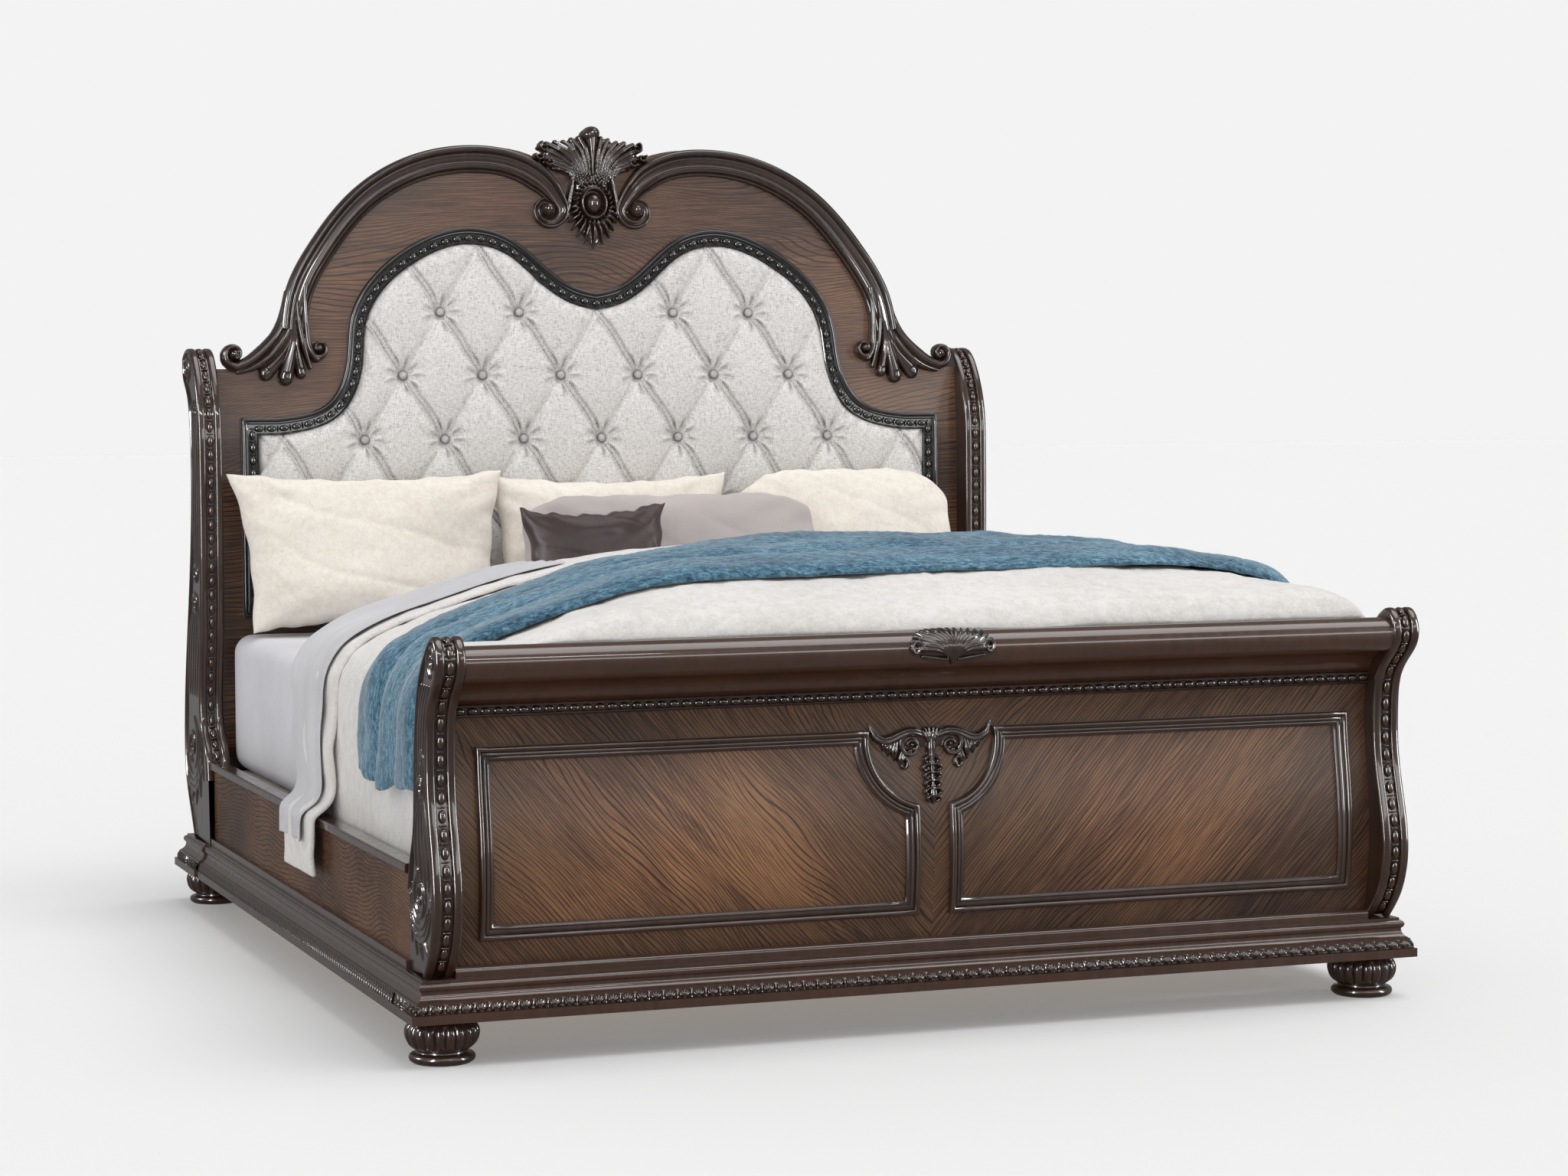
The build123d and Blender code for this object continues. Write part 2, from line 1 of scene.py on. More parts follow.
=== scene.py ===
import math

import bmesh
import bpy
import numpy as np
from mathutils import Matrix, Vector


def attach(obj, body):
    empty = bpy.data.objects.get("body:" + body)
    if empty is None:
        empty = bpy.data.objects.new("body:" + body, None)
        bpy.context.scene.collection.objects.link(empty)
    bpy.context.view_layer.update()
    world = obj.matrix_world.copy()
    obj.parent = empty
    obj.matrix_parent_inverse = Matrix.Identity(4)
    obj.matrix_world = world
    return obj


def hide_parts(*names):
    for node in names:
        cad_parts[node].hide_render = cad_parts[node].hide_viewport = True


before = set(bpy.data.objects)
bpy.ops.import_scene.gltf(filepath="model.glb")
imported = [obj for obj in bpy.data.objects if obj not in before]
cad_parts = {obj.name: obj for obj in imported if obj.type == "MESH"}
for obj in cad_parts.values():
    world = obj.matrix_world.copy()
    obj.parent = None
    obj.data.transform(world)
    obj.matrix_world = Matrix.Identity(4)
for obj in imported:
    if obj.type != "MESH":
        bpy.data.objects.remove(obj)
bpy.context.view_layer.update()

# A carved king-size sleigh bed. Metres; X across, -Y the foot end, +Y the head end, +Z up.
# A part is a (points, faces) pair; piece() makes it an object with its material, body and nodes.
MM = 0.001


# ---- numbers shared with the CAD model ----
BASE_HALF = 1.092
HEAD_BASE_HALF = 1.097
FOOT_Y = -1.194
HEAD_Y = 1.250
FOOT_BASE_BACK = -1.020
HEAD_BASE_FRONT = 0.985
PLINTH_LOW = 0.088
FOOT_POST_X = (0.995, 1.056)
HEAD_POST_X = (1.004, 1.065)
HEAD_FACE_Y = 1.080
HEAD_BEND_Z = 1.080
HEAD_BEND_RADIUS = 1.890
HEAD_LEAN = math.atan(0.128)


# ---- curves and meshes ----
def lengths_along(points):
    """How far along a polyline each of its points lies."""
    steps = np.linalg.norm(np.diff(points, axis=0), axis=1)
    return np.concatenate([[0.0], np.cumsum(steps)])


def point_at(length, lengths, points):
    """The point of a polyline that lies length along it."""
    return [np.interp(length, lengths, points[:, i]) for i in (0, 1)]


def spline(points, count=None, step=0.004):
    """Points on a smooth curve through the given ones: a natural cubic spline by chord length."""
    p = np.asarray(points, float)
    t = lengths_along(p)
    n = len(p)
    h = np.diff(t)
    a = np.zeros((n, n))
    b = np.zeros((n, p.shape[1]))
    a[0, 0] = a[-1, -1] = 1.0
    for i in range(1, n - 1):
        a[i, i - 1:i + 2] = h[i - 1], 2 * (h[i - 1] + h[i]), h[i]
        b[i] = 6 * ((p[i + 1] - p[i]) / h[i] - (p[i] - p[i - 1]) / h[i - 1])
    m = np.linalg.solve(a, b)
    count = count or max(int(t[-1] / step), 2) + 1
    s = np.linspace(0, t[-1], count)
    k = np.clip(np.searchsorted(t, s, side="right") - 1, 0, n - 2)
    u, w = (s - t[k])[:, None], (t[k + 1] - s)[:, None]
    hk = h[k][:, None]
    return (m[k] * w ** 3 + m[k + 1] * u ** 3) / (6 * hk) \
        + (p[k] / hk - m[k] * hk / 6) * w + (p[k + 1] / hk - m[k + 1] * hk / 6) * u


def resample(points, count):
    """The same polyline with evenly spaced points."""
    p = np.asarray(points, float)
    t = lengths_along(p)
    s = np.linspace(0, t[-1], count)
    return np.stack([np.interp(s, t, p[:, i]) for i in range(p.shape[1])], 1)


def tangents(points):
    """Unit directions along a polyline, one at each point."""
    d = np.gradient(np.asarray(points, float), axis=0)
    return d / np.maximum(np.linalg.norm(d, axis=1, keepdims=True), 1e-12)


def arc(centre, radius, start, end, count=12):
    """Points on a circle's arc, angles in degrees."""
    a = np.radians(np.linspace(start, end, count))
    return np.stack([centre[0] + radius * np.cos(a), centre[1] + radius * np.sin(a)], 1)


def grid_faces(rows, cols, closed=False):
    """Quads of a grid of points, as rows of four point numbers; closed joins the ends of a row."""
    r, c = np.indices((rows - 1, cols if closed else cols - 1))
    nxt = (c + 1) % cols
    quads = np.stack([r * cols + c, r * cols + nxt, (r + 1) * cols + nxt, (r + 1) * cols + c], -1)
    return quads.reshape(-1, 4)


def shell_faces(quads, count, back=True):
    """Faces that close a grid: its quads, the same on its back and walls along its border.

    The back's points are the front's, numbered count further on.
    """
    edges = np.concatenate([quads[:, [i, (i + 1) % 4]] for i in range(4)])
    code = edges[:, 0] * count + edges[:, 1]
    border = edges[~np.isin(code, edges[:, 1] * count + edges[:, 0])]
    walls = np.stack([border[:, 1], border[:, 0], border[:, 0] + count, border[:, 1] + count], 1)
    rear = [quads[:, ::-1] + count] if back else []
    return np.concatenate([quads, *rear, walls]).tolist()


def ring_stack(rings):
    """A part from closed rings of points, one inside the next."""
    return np.concatenate(rings), grid_faces(len(rings), len(rings[0]), True).tolist()


def end_caps(rows, cols):
    """The two faces that close a tube of rows rings with cols points each."""
    return [list(range(cols))[::-1], [(rows - 1) * cols + i for i in range(cols)]]


def in_scene(obj):
    """The same object, linked to the scene."""
    bpy.context.scene.collection.objects.link(obj)
    return obj


def make_mesh(name, verts, faces, smooth=True):
    """A new object from points and faces."""
    mesh = bpy.data.meshes.new(name)
    verts = np.asarray(verts, float).reshape(-1, 3)
    mesh.from_pydata(verts.tolist(), [], [list(map(int, f)) for f in faces])
    mesh.validate()
    if smooth:
        mesh.shade_smooth()
    return in_scene(bpy.data.objects.new(name, mesh))


def join_meshes(parts):
    """(verts, faces) pairs joined into one pair."""
    verts, faces, start = [], [], 0
    for v, f in parts:
        v = np.asarray(v, float).reshape(-1, 3)
        verts.append(v)
        faces.extend([[int(i) + start for i in face] for face in f])
        start += len(v)
    return np.concatenate(verts), faces


def mirrored(part):
    """The part on the bed's other side."""
    v, f = part
    v = np.array(v, float).reshape(-1, 3)
    v[:, 0] *= -1
    return v, [list(face)[::-1] for face in f]


def outward(obj):
    """Turns every face of a closed piece outwards."""
    bm = bmesh.new()
    bm.from_mesh(obj.data)
    bmesh.ops.recalc_face_normals(bm, faces=bm.faces)
    bm.to_mesh(obj.data)
    bm.free()
    return obj


def piece(name, part, material, nodes, sharp=0, fix=False):
    """A finished piece: its mesh, its material, its body and the CAD nodes it stands for.

    Edges bent by more than sharp degrees stay sharp; fix turns a closed piece's faces outwards.
    """
    obj = make_mesh(name, *part)
    if fix:
        outward(obj)
    if sharp:
        obj.data.set_sharp_from_angle(angle=math.radians(sharp))
    obj.data.materials.append(MAT[material])
    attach(obj, "root")
    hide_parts(*nodes)
    return obj


def carved(name, part, node, sharp=60, material="espresso", fix=False):
    """A piece of dark carved or turned wood."""
    piece(name, part, material, [node], sharp, fix)


def carved_pair(name, part, node, sharp, fix=False):
    """The right piece and its mirror image; {} in the names stands for right or left."""
    carved(name.format("right"), part, node.format("right"), sharp, fix=fix)
    carved(name.format("left"), mirrored(part), node.format("left"), sharp, fix=fix)


def ellipsoid(centre, axes, radii, rings=6, segments=10):
    """A stretched ball: axes is a 3x3 of unit rows, radii one for each."""
    centre, axes = np.asarray(centre, float), np.asarray(axes, float)
    th = np.linspace(0, math.pi, rings + 1)[1:-1]
    ph = np.linspace(0, 2 * math.pi, segments, endpoint=False)
    a, b = np.meshgrid(th, ph, indexing="ij")
    unit = np.stack([np.cos(a), np.sin(a) * np.cos(b), np.sin(a) * np.sin(b)], -1).reshape(-1, 3)
    unit = np.concatenate([unit, [[1, 0, 0], [-1, 0, 0]]])
    verts = centre + (unit * radii) @ axes
    count = (rings - 1) * segments
    faces = grid_faces(rings - 1, segments, True).tolist()
    for i in range(segments):
        j = (i + 1) % segments
        faces.append([count, j, i])
        faces.append([count + 1, (rings - 2) * segments + i, (rings - 2) * segments + j])
    return verts, faces


# ---- materials ----
class Nodes:
    """A short way to build a node material."""

    def __init__(self, name):
        self.material = bpy.data.materials.new(name)
        self.material.use_nodes = True
        self.tree = self.material.node_tree
        self.shader = self.tree.nodes["Principled BSDF"]

    def add(self, kind):
        return self.tree.nodes.new(kind)

    def put(self, socket, value):
        """Links a socket, or sets a number or a colour on it."""
        if isinstance(value, (int, float)):
            socket.default_value = value
        elif isinstance(value, tuple):
            socket.default_value = (*value, 1)
        else:
            self.tree.links.new(value, socket)

    def coords(self):
        return self.add("ShaderNodeTexCoord").outputs["Object"]

    def pointiness(self):
        return self.add("ShaderNodeNewGeometry").outputs["Pointiness"]

    def scaled(self, vector, scale, location=(0, 0, 0)):
        node = self.add("ShaderNodeMapping")
        node.inputs["Scale"].default_value = scale
        node.inputs["Location"].default_value = location
        self.put(node.inputs["Vector"], vector)
        return node.outputs[0]

    def noise(self, vector, scale=5.0, detail=4.0, rough=0.5, distortion=0.0):
        """Noise on a vector; a triple as the scale stretches it along the axes."""
        if isinstance(scale, tuple):
            vector, scale = self.scaled(vector, scale), 1.0
        node = self.add("ShaderNodeTexNoise")
        for key, value in (("Vector", vector), ("Scale", scale), ("Detail", detail),
                           ("Roughness", rough), ("Distortion", distortion)):
            self.put(node.inputs[key], value)
        return node.outputs[0]

    def ramp(self, value, stops):
        """stops: (place, colour) pairs, the colour a grey number or an RGB triple."""
        node = self.add("ShaderNodeValToRGB")
        self.put(node.inputs[0], value)
        elements = node.color_ramp.elements
        while len(elements) < len(stops):
            elements.new(0.5)
        for element, (place, colour) in zip(elements, stops):
            element.position = place
            rgb = (colour,) * 3 if isinstance(colour, (int, float)) else tuple(colour)
            element.color = (*rgb, 1)
        return node.outputs[0]

    def math(self, operation, *values):
        node = self.add("ShaderNodeMath")
        node.operation = operation
        for socket, value in zip(node.inputs, values):
            self.put(socket, value)
        return node.outputs[0]

    def sum(self, *terms):
        """The sum of (socket, weight) pairs."""
        total = None
        for value, weight in terms:
            share = self.math("MULTIPLY", value, weight)
            total = share if total is None else self.math("ADD", total, share)
        return total

    def mix(self, factor, a, b, blend="MIX"):
        node = self.add("ShaderNodeMix")
        node.data_type = "RGBA"
        node.blend_type = blend
        for socket, value in ((node.inputs[0], factor), (node.inputs[6], a), (node.inputs[7], b)):
            self.put(socket, value)
        return node.outputs[2]

    def bump(self, height, strength, distance):
        node = self.add("ShaderNodeBump")
        for key, value in (("Strength", strength), ("Distance", distance), ("Height", height)):
            self.put(node.inputs[key], value)
        return node.outputs[0]

    def finish(self, colour, roughness, normal=None, **constants):
        """The material, with its colour, its roughness, its bump and the shader's other numbers."""
        self.put(self.shader.inputs["Base Color"], colour)
        self.put(self.shader.inputs["Roughness"], roughness)
        if normal is not None:
            self.put(self.shader.inputs["Normal"], normal)
        for key, value in constants.items():
            self.shader.inputs[key.replace("_", " ")].default_value = value
        return self.material


def srgb(code):
    """A linear colour from a hex code."""
    parts = [int(code[i:i + 2], 16) / 255 for i in (1, 3, 5)]
    return tuple(c / 12.92 if c <= 0.04045 else ((c + 0.055) / 1.055) ** 2.4 for c in parts)


# The middle and the half size of a footboard panel, along X and along Z, for its glaze and painted
# shade.
PANEL_GLAZE_SHADE = ((0.52, 0.44), (0.42, 0.24))


def veneer(name, grain_angle, book_match=False, dark="#2C190E", middle="#664129", light="#956840",
           figure=1.0, lines=1.0, gloss=1.0):
    """Stained oak veneer. The grain runs at grain_angle degrees from X in the XZ plane.

    figure is how far the cathedral lines bend, lines how close they lie. book_match mirrors the
    grain about the middle of the bed and darkens the edges of the two footboard panels, part
    glaze and part painted shade.
    """
    n = Nodes(name)
    sep = n.add("ShaderNodeSeparateXYZ")
    n.put(sep.inputs[0], n.coords())
    x, deep, z = sep.outputs
    if book_match:
        deep = n.math("ADD", deep, n.math("MULTIPLY", n.math("SIGN", x), 0.37))
        x = n.math("ABSOLUTE", x)
    # Along and across the grain, in metres.
    c, s = math.cos(math.radians(grain_angle)), math.sin(math.radians(grain_angle))
    along = n.sum((x, c), (z, s))
    across = n.math("SUBTRACT", n.math("MULTIPLY", z, c), n.math("MULTIPLY", x, s))
    place = n.add("ShaderNodeCombineXYZ")
    for socket, value in zip(place.inputs, (along, across, deep)):
        n.put(socket, value)
    grain = place.outputs[0]
    # Cathedral figure: thin lines across the grain, bent by a slow noise.
    bend = n.noise(grain, (1.5, 5.5, 3.0), 2.0, 0.40)
    spread = n.noise(n.scaled(grain, (0.9, 3.0, 3.0), (3.1, 1.7, 0.4)), 1.0, 1.0, 0.4)
    place_across = n.math("ADD", across, n.math("MULTIPLY", bend, 0.19 * figure))
    pitch = n.math("ADD", n.math("MULTIPLY", spread, 90.0 * lines), 215.0 * lines)
    rings = n.math("PINGPONG", n.math("MULTIPLY", place_across, pitch), 1.0)
    line = n.ramp(rings, [(0.0, 0.05), (0.16, 0.55), (0.42, 0.95), (1.0, 0.85)])
    # Fine pores and streaks.
    fibre = n.noise(grain, (7.0, 300.0, 40.0), 4.0, 0.65)
    pores = n.ramp(n.noise(grain, (14.0, 760.0, 60.0), 2.0, 0.5), [(0.38, 0.0), (0.50, 1.0)])
    blotch = n.noise(grain, (1.4, 3.4, 3.0), 3.0, 0.5)
    tone = n.sum((line, 0.40), (fibre, 0.65), (n.math("SUBTRACT", blotch, 0.5), 0.60))
    colour = n.ramp(tone, [(0.45, srgb(dark)), (0.62, srgb(middle)), (0.78, srgb(light))])
    in_pores = n.math("MULTIPLY", n.math("SUBTRACT", 1.0, pores), 0.50)
    colour = n.mix(in_pores, colour, srgb("#20120B"))
    if book_match:
        # Each panel is darker towards its edges beside the frame: part glaze, part painted shade.
        (mid_x, half_x), (mid_z, half_z) = PANEL_GLAZE_SHADE
        sideways, upright = (
            n.math("DIVIDE", n.math("ABSOLUTE", n.math("SUBTRACT", value, mid)), half)
            for value, mid, half in ((x, mid_x, half_x), (z, mid_z, half_z)))
        edge = n.math("MAXIMUM", sideways, upright)
        colour = n.mix(1.0, colour, n.ramp(edge, [(0.30, 1.0), (0.95, 0.46)]), "MULTIPLY")
    height = n.sum((pores, 0.6), (line, 0.4))
    rough = n.ramp(fibre, [(0.3, 0.30), (0.7, 0.42)])
    return n.finish(colour, rough, n.bump(height, 0.25, 0.0006), Coat_Weight=0.35 * gloss,
                    Coat_Roughness=0.22, Specular_IOR_Level=0.35 * gloss)


def espresso(name, low="#160B06", high="#452A1C", gloss=0.28):
    """Dark stained and lacquered carved wood, its ridges lighter brown: partly wear, partly a
    painted highlight.
    """
    n = Nodes(name)
    co = n.coords()
    streak = n.noise(co, (60.0, 60.0, 9.0), 4.0, 0.6)
    cloud = n.noise(co, 6.0, 3.0)
    # Convex ridges are lighter: partly wear, partly a painted highlight.
    worn_lit_ridge = n.ramp(n.pointiness(), [(0.47, 0.0), (0.60, 1.0)])
    tone = n.sum((streak, 0.45), (cloud, 0.35), (worn_lit_ridge, 0.35))
    colour = n.ramp(tone, [(0.25, srgb(low)), (0.85, srgb(high))])
    rough = n.ramp(streak, [(0.3, gloss), (0.7, gloss + 0.10)])
    return n.finish(colour, rough, n.bump(streak, 0.06, 0.0004), Coat_Weight=0.85,
                    Coat_Roughness=0.05, Specular_IOR_Level=0.30)


def linen(name):
    """Slubby two-tone linen: crossed threads of uneven thickness, with painted shade in its folds.
    """
    n = Nodes(name)
    co = n.coords()
    warp = n.noise(co, (560, 90, 80), 3.0, 0.6)
    weft = n.noise(co, (80, 90, 560), 3.0, 0.6)
    wave = n.sum((warp, 0.5), (weft, 0.5))
    colour = n.ramp(wave, [(0.38, srgb("#B3ADA8")), (0.48, srgb("#DAD7D4")),
                           (0.60, srgb("#EDEBEA"))])
    # Painted shade: hollows of the folds are darkened by their concavity.
    folds = n.ramp(n.pointiness(), [(0.445, 0.16), (0.492, 1.0)])
    colour = n.mix(1.0, colour, folds, "MULTIPLY")
    return n.finish(colour, 0.92, n.bump(wave, 0.5, 0.0010), Sheen_Weight=0.15,
                    Sheen_Roughness=0.5, Specular_IOR_Level=0.2)


def fleece(name, low, high, cell=130.0, depth=.0035):
    """Curly sherpa fleece: soft lumps of pile over slow shading."""
    n = Nodes(name)
    co = n.coords()
    curl = n.noise(co, cell, 3.0, 0.55, 1.2)
    lump = n.noise(co, cell * 0.30, 2.0, 0.5, 0.6)
    height = n.sum((curl, 0.6), (lump, 0.5))
    tone = n.sum((height, 0.7), (n.noise(co, 3.0), 0.3))
    colour = n.ramp(tone, [(0.35, srgb(low)), (0.62, srgb(high))])
    return n.finish(colour, 0.95, n.bump(height, 0.55, depth), Sheen_Weight=0.4,
                    Sheen_Roughness=0.6, Specular_IOR_Level=0.15)


def woven(name, low, high, threads=1500.0):
    """Fine plain-woven cotton."""
    n = Nodes(name)
    co = n.coords()
    slow = threads * 0.06
    weave = n.sum((n.noise(co, (threads, slow, slow), 2.0, 0.6), 0.5),
                  (n.noise(co, (slow, threads, threads), 2.0, 0.6), 0.5))
    tone = n.sum((weave, 0.5), (n.noise(co, 4.0), 0.5))
    colour = n.ramp(tone, [(0.35, srgb(low)), (0.65, srgb(high))])
    return n.finish(colour, 0.75, n.bump(weave, 0.25, 0.0005), Sheen_Weight=0.2,
                    Sheen_Roughness=0.45, Specular_IOR_Level=0.25)


def knit(name):
    """Chunky blue knit: wales across the throw and darker flecks."""
    n = Nodes(name)
    co = n.coords()
    wale = n.noise(co, (300.0, 90.0, 300.0), 2.0, 0.6, 0.4)
    fleck = n.noise(co, (55.0, 260.0, 55.0), 3.0, 0.65, 0.5)
    band = n.noise(co, (2.2, 16.0, 2.2), 3.0, 0.55)
    tone = n.sum((fleck, 0.62), (band, 0.23), (wale, 0.15))
    colour = n.ramp(tone, [(0.38, srgb("#1B3346")), (0.50, srgb("#3F6980")),
                           (0.62, srgb("#7399AA"))])
    height = n.sum((wale, 0.6), (fleck, 0.5))
    return n.finish(colour, 0.95, n.bump(height, 0.7, 0.0022), Sheen_Weight=0.35,
                    Sheen_Roughness=0.5, Specular_IOR_Level=0.15)


def satin(name):
    """Dark brown satin with soft stripes."""
    n = Nodes(name)
    co = n.coords()
    thread = n.noise(co, (2200.0, 30.0, 60.0), 2.0, 0.6)
    tone = n.sum((thread, 0.5), (n.noise(co, 12.0), 0.5))
    colour = n.ramp(tone, [(0.3, srgb("#2E2221")), (0.7, srgb("#493938"))])
    return n.finish(colour, 0.42, n.bump(thread, 0.12, 0.0004), Anisotropic=0.5,
                    Sheen_Weight=0.08, Specular_IOR_Level=0.22)


def pine(name):
    """Plain planed pine for the parts under the bed."""
    n = Nodes(name)
    grain = n.noise(n.coords(), (3.0, 60.0, 60.0), 4.0, 0.55, 0.4)
    colour = n.ramp(grain, [(0.32, srgb("#B98F5C")), (0.52, srgb("#D2AD79")),
                            (0.70, srgb("#E0C290"))])
    return n.finish(colour, 0.55, n.bump(grain, 0.2, 0.0005), Specular_IOR_Level=0.35)


def steel(name):
    """Brushed and plated steel."""
    n = Nodes(name)
    brushed = n.noise(n.coords(), (900.0, 900.0, 20.0), 3.0, 0.6)
    rough = n.ramp(brushed, [(0.3, 0.30), (0.7, 0.46)])
    colour = n.ramp(brushed, [(0.3, srgb("#A9A8A5")), (0.7, srgb("#C4C3C0"))])
    return n.finish(colour, rough, n.bump(brushed, 0.1, 0.0003), Metallic=1.0)


def plastic(name):
    """Black moulded plastic."""
    n = Nodes(name)
    grit = n.noise(n.coords(), 900.0, 2.0)
    colour = n.ramp(grit, [(0.3, srgb("#1B1B1C")), (0.7, srgb("#262627"))])
    return n.finish(colour, 0.48, n.bump(grit, 0.15, 0.0003))


MAT = {
    "linen": linen("slub_linen"),
    "fleece": fleece("sherpa_fleece", "#C0BBB6", "#DAD7D4"),
    "fleece_fine": fleece("pillow_fleece", "#D6CDBF", "#EBE4DA", 190.0, .0022),
    "sheet": woven("grey_cotton", "#B4B3B7", "#C9C8CC"),
    "mauve": woven("mauve_cotton", "#A89F9D", "#BDB5B2"),
    "fitted": woven("fitted_cotton", "#C1C0C5", "#D3D2D7"),
    "ticking": woven("cream_ticking", "#C9C2B4", "#E2DCD0", 700.0),
    "knit": knit("blue_knit"),
    "satin": satin("brown_satin"),
    "pine": pine("planed_pine"),
    "steel": steel("plated_steel"),
    "plastic": plastic("black_plastic"),
    "espresso": espresso("espresso_lacquer"),
    "black": espresso("ebonised_lacquer", "#0B0807", "#1C1513", 0.30),
    "foot_veneer": veneer("footboard_veneer", 48, book_match=True),
    "head_veneer": veneer("headboard_veneer", 2, dark="#26150B", middle="#553623",
                          light="#7C5538", figure=0.6, lines=0.8),
    "rail_veneer": veneer("rail_veneer", 0, dark="#2A180E", middle="#573A28",
                          light="#7A563E", figure=0.4, lines=0.8, gloss=0.3),
}


# ---- camera, light and floor ----
CAMERA_AT = Vector((-2.700, -7.609, 1.304))
YAW, PITCH, ROLL = (math.radians(a) for a in (20.246, 3.335, -0.285))
LENS_MM = 80.09
# Brightness of the white paper, of the sky as a light and of the sky seen in lacquer.
PAPER = 0.896
AMBIENT = 0.60
IN_GLOSS = 0.22
FLOOR_TONE = 0.62
FLOOR_IN_GLOSS = 0.30
# What the open floor gets from the sky and the sun, and the whole light that makes it paper-white.
OPEN_LIGHT = 1.12
FLOOR_LIGHT = PAPER / FLOOR_TONE
FILL = 0.27
FILL_FROM = Vector((-0.60, -0.75, 0.25)).normalized()
SUN_FROM = Vector((0.30, -0.16, 0.95)).normalized()
FILL_SPREAD, SUN_SPREAD = math.radians(70), math.radians(44)
FLOOR_HALF = 60
# Name, place, target, size and radiance.
SOFTBOXES = [
    ("strip_front", (-0.9, -6.2, 4.6), (0, -1.1, 0.7), (5.0, 0.30), 22.0),
    ("strip_left", (-5.6, -5.0, 2.8), (-0.8, -0.9, 0.7), (1.0, 5.4), 50.0),
    ("strip_right", (7.0, -5.0, 2.8), (0.8, -1.1, 0.7), (1.0, 5.4), 40.0),
    ("sheen_front", (2.1, -6.2, 2.3), (0, -1.1, 0.5), (4.4, 0.8), 5.0),
    ("box_side", (-6.5, 1.5, 3.4), (-1.1, 0, 0.2), (1.6, 1.6), 40.0),
    ("box_top", (-0.6, -1.8, 5.0), (0, 0.4, 0.8), (1.6, 1.0), 2.0),
]



def add_camera():
    """The camera that matches the bed's corners."""
    forward = Vector((math.sin(YAW) * math.cos(PITCH), math.cos(YAW) * math.cos(PITCH),
                      -math.sin(PITCH)))
    right = Vector((math.cos(YAW), -math.sin(YAW), 0))
    up = right.cross(forward)
    c, s = math.cos(ROLL), math.sin(ROLL)
    right, up = right * c + up * s, up * c - right * s
    data = bpy.data.cameras.new("camera")
    data.lens = LENS_MM
    data.sensor_width = 36.0
    data.clip_end = 200
    camera = in_scene(bpy.data.objects.new("camera", data))
    basis = Matrix((right, up, -forward)).transposed().to_4x4()
    camera.matrix_world = Matrix.Translation(CAMERA_AT) @ basis
    bpy.context.scene.camera = camera


def add_world():
    """An even studio: dimmer as a light than as the white paper behind the bed."""
    world = bpy.data.worlds.new("studio")
    world.use_nodes = True
    tree = world.node_tree
    sky = tree.nodes["Background"]
    sky.inputs[0].default_value = (1, 1, 1, 1)
    path = tree.nodes.new("ShaderNodeLightPath")
    chosen = []
    for ray, strength in (("Is Glossy Ray", IN_GLOSS), ("Is Camera Ray", PAPER)):
        choose = tree.nodes.new("ShaderNodeMapRange")
        choose.inputs["To Min"].default_value = AMBIENT
        choose.inputs["To Max"].default_value = strength
        tree.links.new(path.outputs[ray], choose.inputs["Value"])
        chosen.append(choose)
    in_gloss, seen = chosen
    tree.links.new(in_gloss.outputs[0], seen.inputs["To Min"])
    tree.links.new(seen.outputs[0], sky.inputs[1])
    bpy.context.scene.world = world
    bpy.context.scene.view_settings.view_transform = "Standard"


def add_lamp(name, kind, energy, at, target=(0, 0, 0)):
    """A lamp of a kind, at a place and turned to its target."""
    data = bpy.data.lights.new(name, kind)
    data.energy = energy
    lamp = in_scene(bpy.data.objects.new(name, data))
    lamp.location = at
    lamp.rotation_euler = (Vector(target) - Vector(at)).to_track_quat("-Z", "Y").to_euler()
    return lamp


def add_softbox(name, at, target, size, radiance, floor_free):
    """A soft rectangle that shines in the lacquer only: the paper and the cloth don't need it."""
    lamp = add_lamp(name, "AREA", radiance * math.pi * size[0] * size[1], at, target)
    lamp.data.shape = "RECTANGLE"
    lamp.data.size, lamp.data.size_y = size
    lamp.light_linking.receiver_collection = floor_free
    lamp.visible_diffuse = False


def add_stage():
    """The paper-white floor with its lamps."""
    n = Nodes("floor_paint")
    corners = [(i * FLOOR_HALF, j * FLOOR_HALF, 0) for i, j in ((-1, -1), (1, -1), (1, 1), (-1, 1))]
    floor = make_mesh("floor", corners, [(0, 1, 2, 3)], smooth=False)
    # In the lacquer the floor looks as dark as the rest of the studio.
    glossy = n.add("ShaderNodeLightPath").outputs["Is Glossy Ray"]
    tone = n.mix(glossy, (FLOOR_TONE,) * 3, (FLOOR_TONE * FLOOR_IN_GLOSS,) * 3)
    floor.data.materials.append(n.finish(tone, 1.0, Specular_IOR_Level=0.0))
    # The sun brings the open floor to the tone of the paper behind it.
    sun = add_lamp("key_sun", "SUN", (OPEN_LIGHT - AMBIENT) * math.pi / SUN_FROM.z, SUN_FROM * 8)
    sun.data.angle = SUN_SPREAD
    floor_free = bpy.data.collections.new("lit_by_softboxes")
    floor_free.objects.link(floor)
    floor_free.collection_objects[0].light_linking.link_state = "EXCLUDE"
    floor_only = bpy.data.collections.new("floor_only")
    floor_only.objects.link(floor)
    lift = add_lamp("floor_lift", "SUN", (FLOOR_LIGHT - OPEN_LIGHT) * math.pi, (0, 0, 8))
    lift.light_linking.receiver_collection = floor_only
    lift.light_linking.blocker_collection = floor_only
    fill = add_lamp("fill_sun", "SUN", FILL * math.pi, FILL_FROM * 8)
    fill.data.angle = FILL_SPREAD
    fill.light_linking.receiver_collection = floor_free
    fill.visible_glossy = False
    for box in SOFTBOXES:
        add_softbox(*box, floor_free)


# The CAD nodes that stay, other than those of dark wood.
DRESS = {
    "head_veneer": ("headboard_panel", "headboard_back_panel"),
    "foot_veneer": ("footboard_panel",),
    "rail_veneer": ("side_rail_left", "side_rail_right"),
    "pine": ("slat_cleats", "slats", "centre_beam", "centre_legs"),
    "steel": ("rail_hook_plates",),
    "plastic": ("levelling_glide_front", "levelling_glide_middle", "levelling_glide_rear"),
}


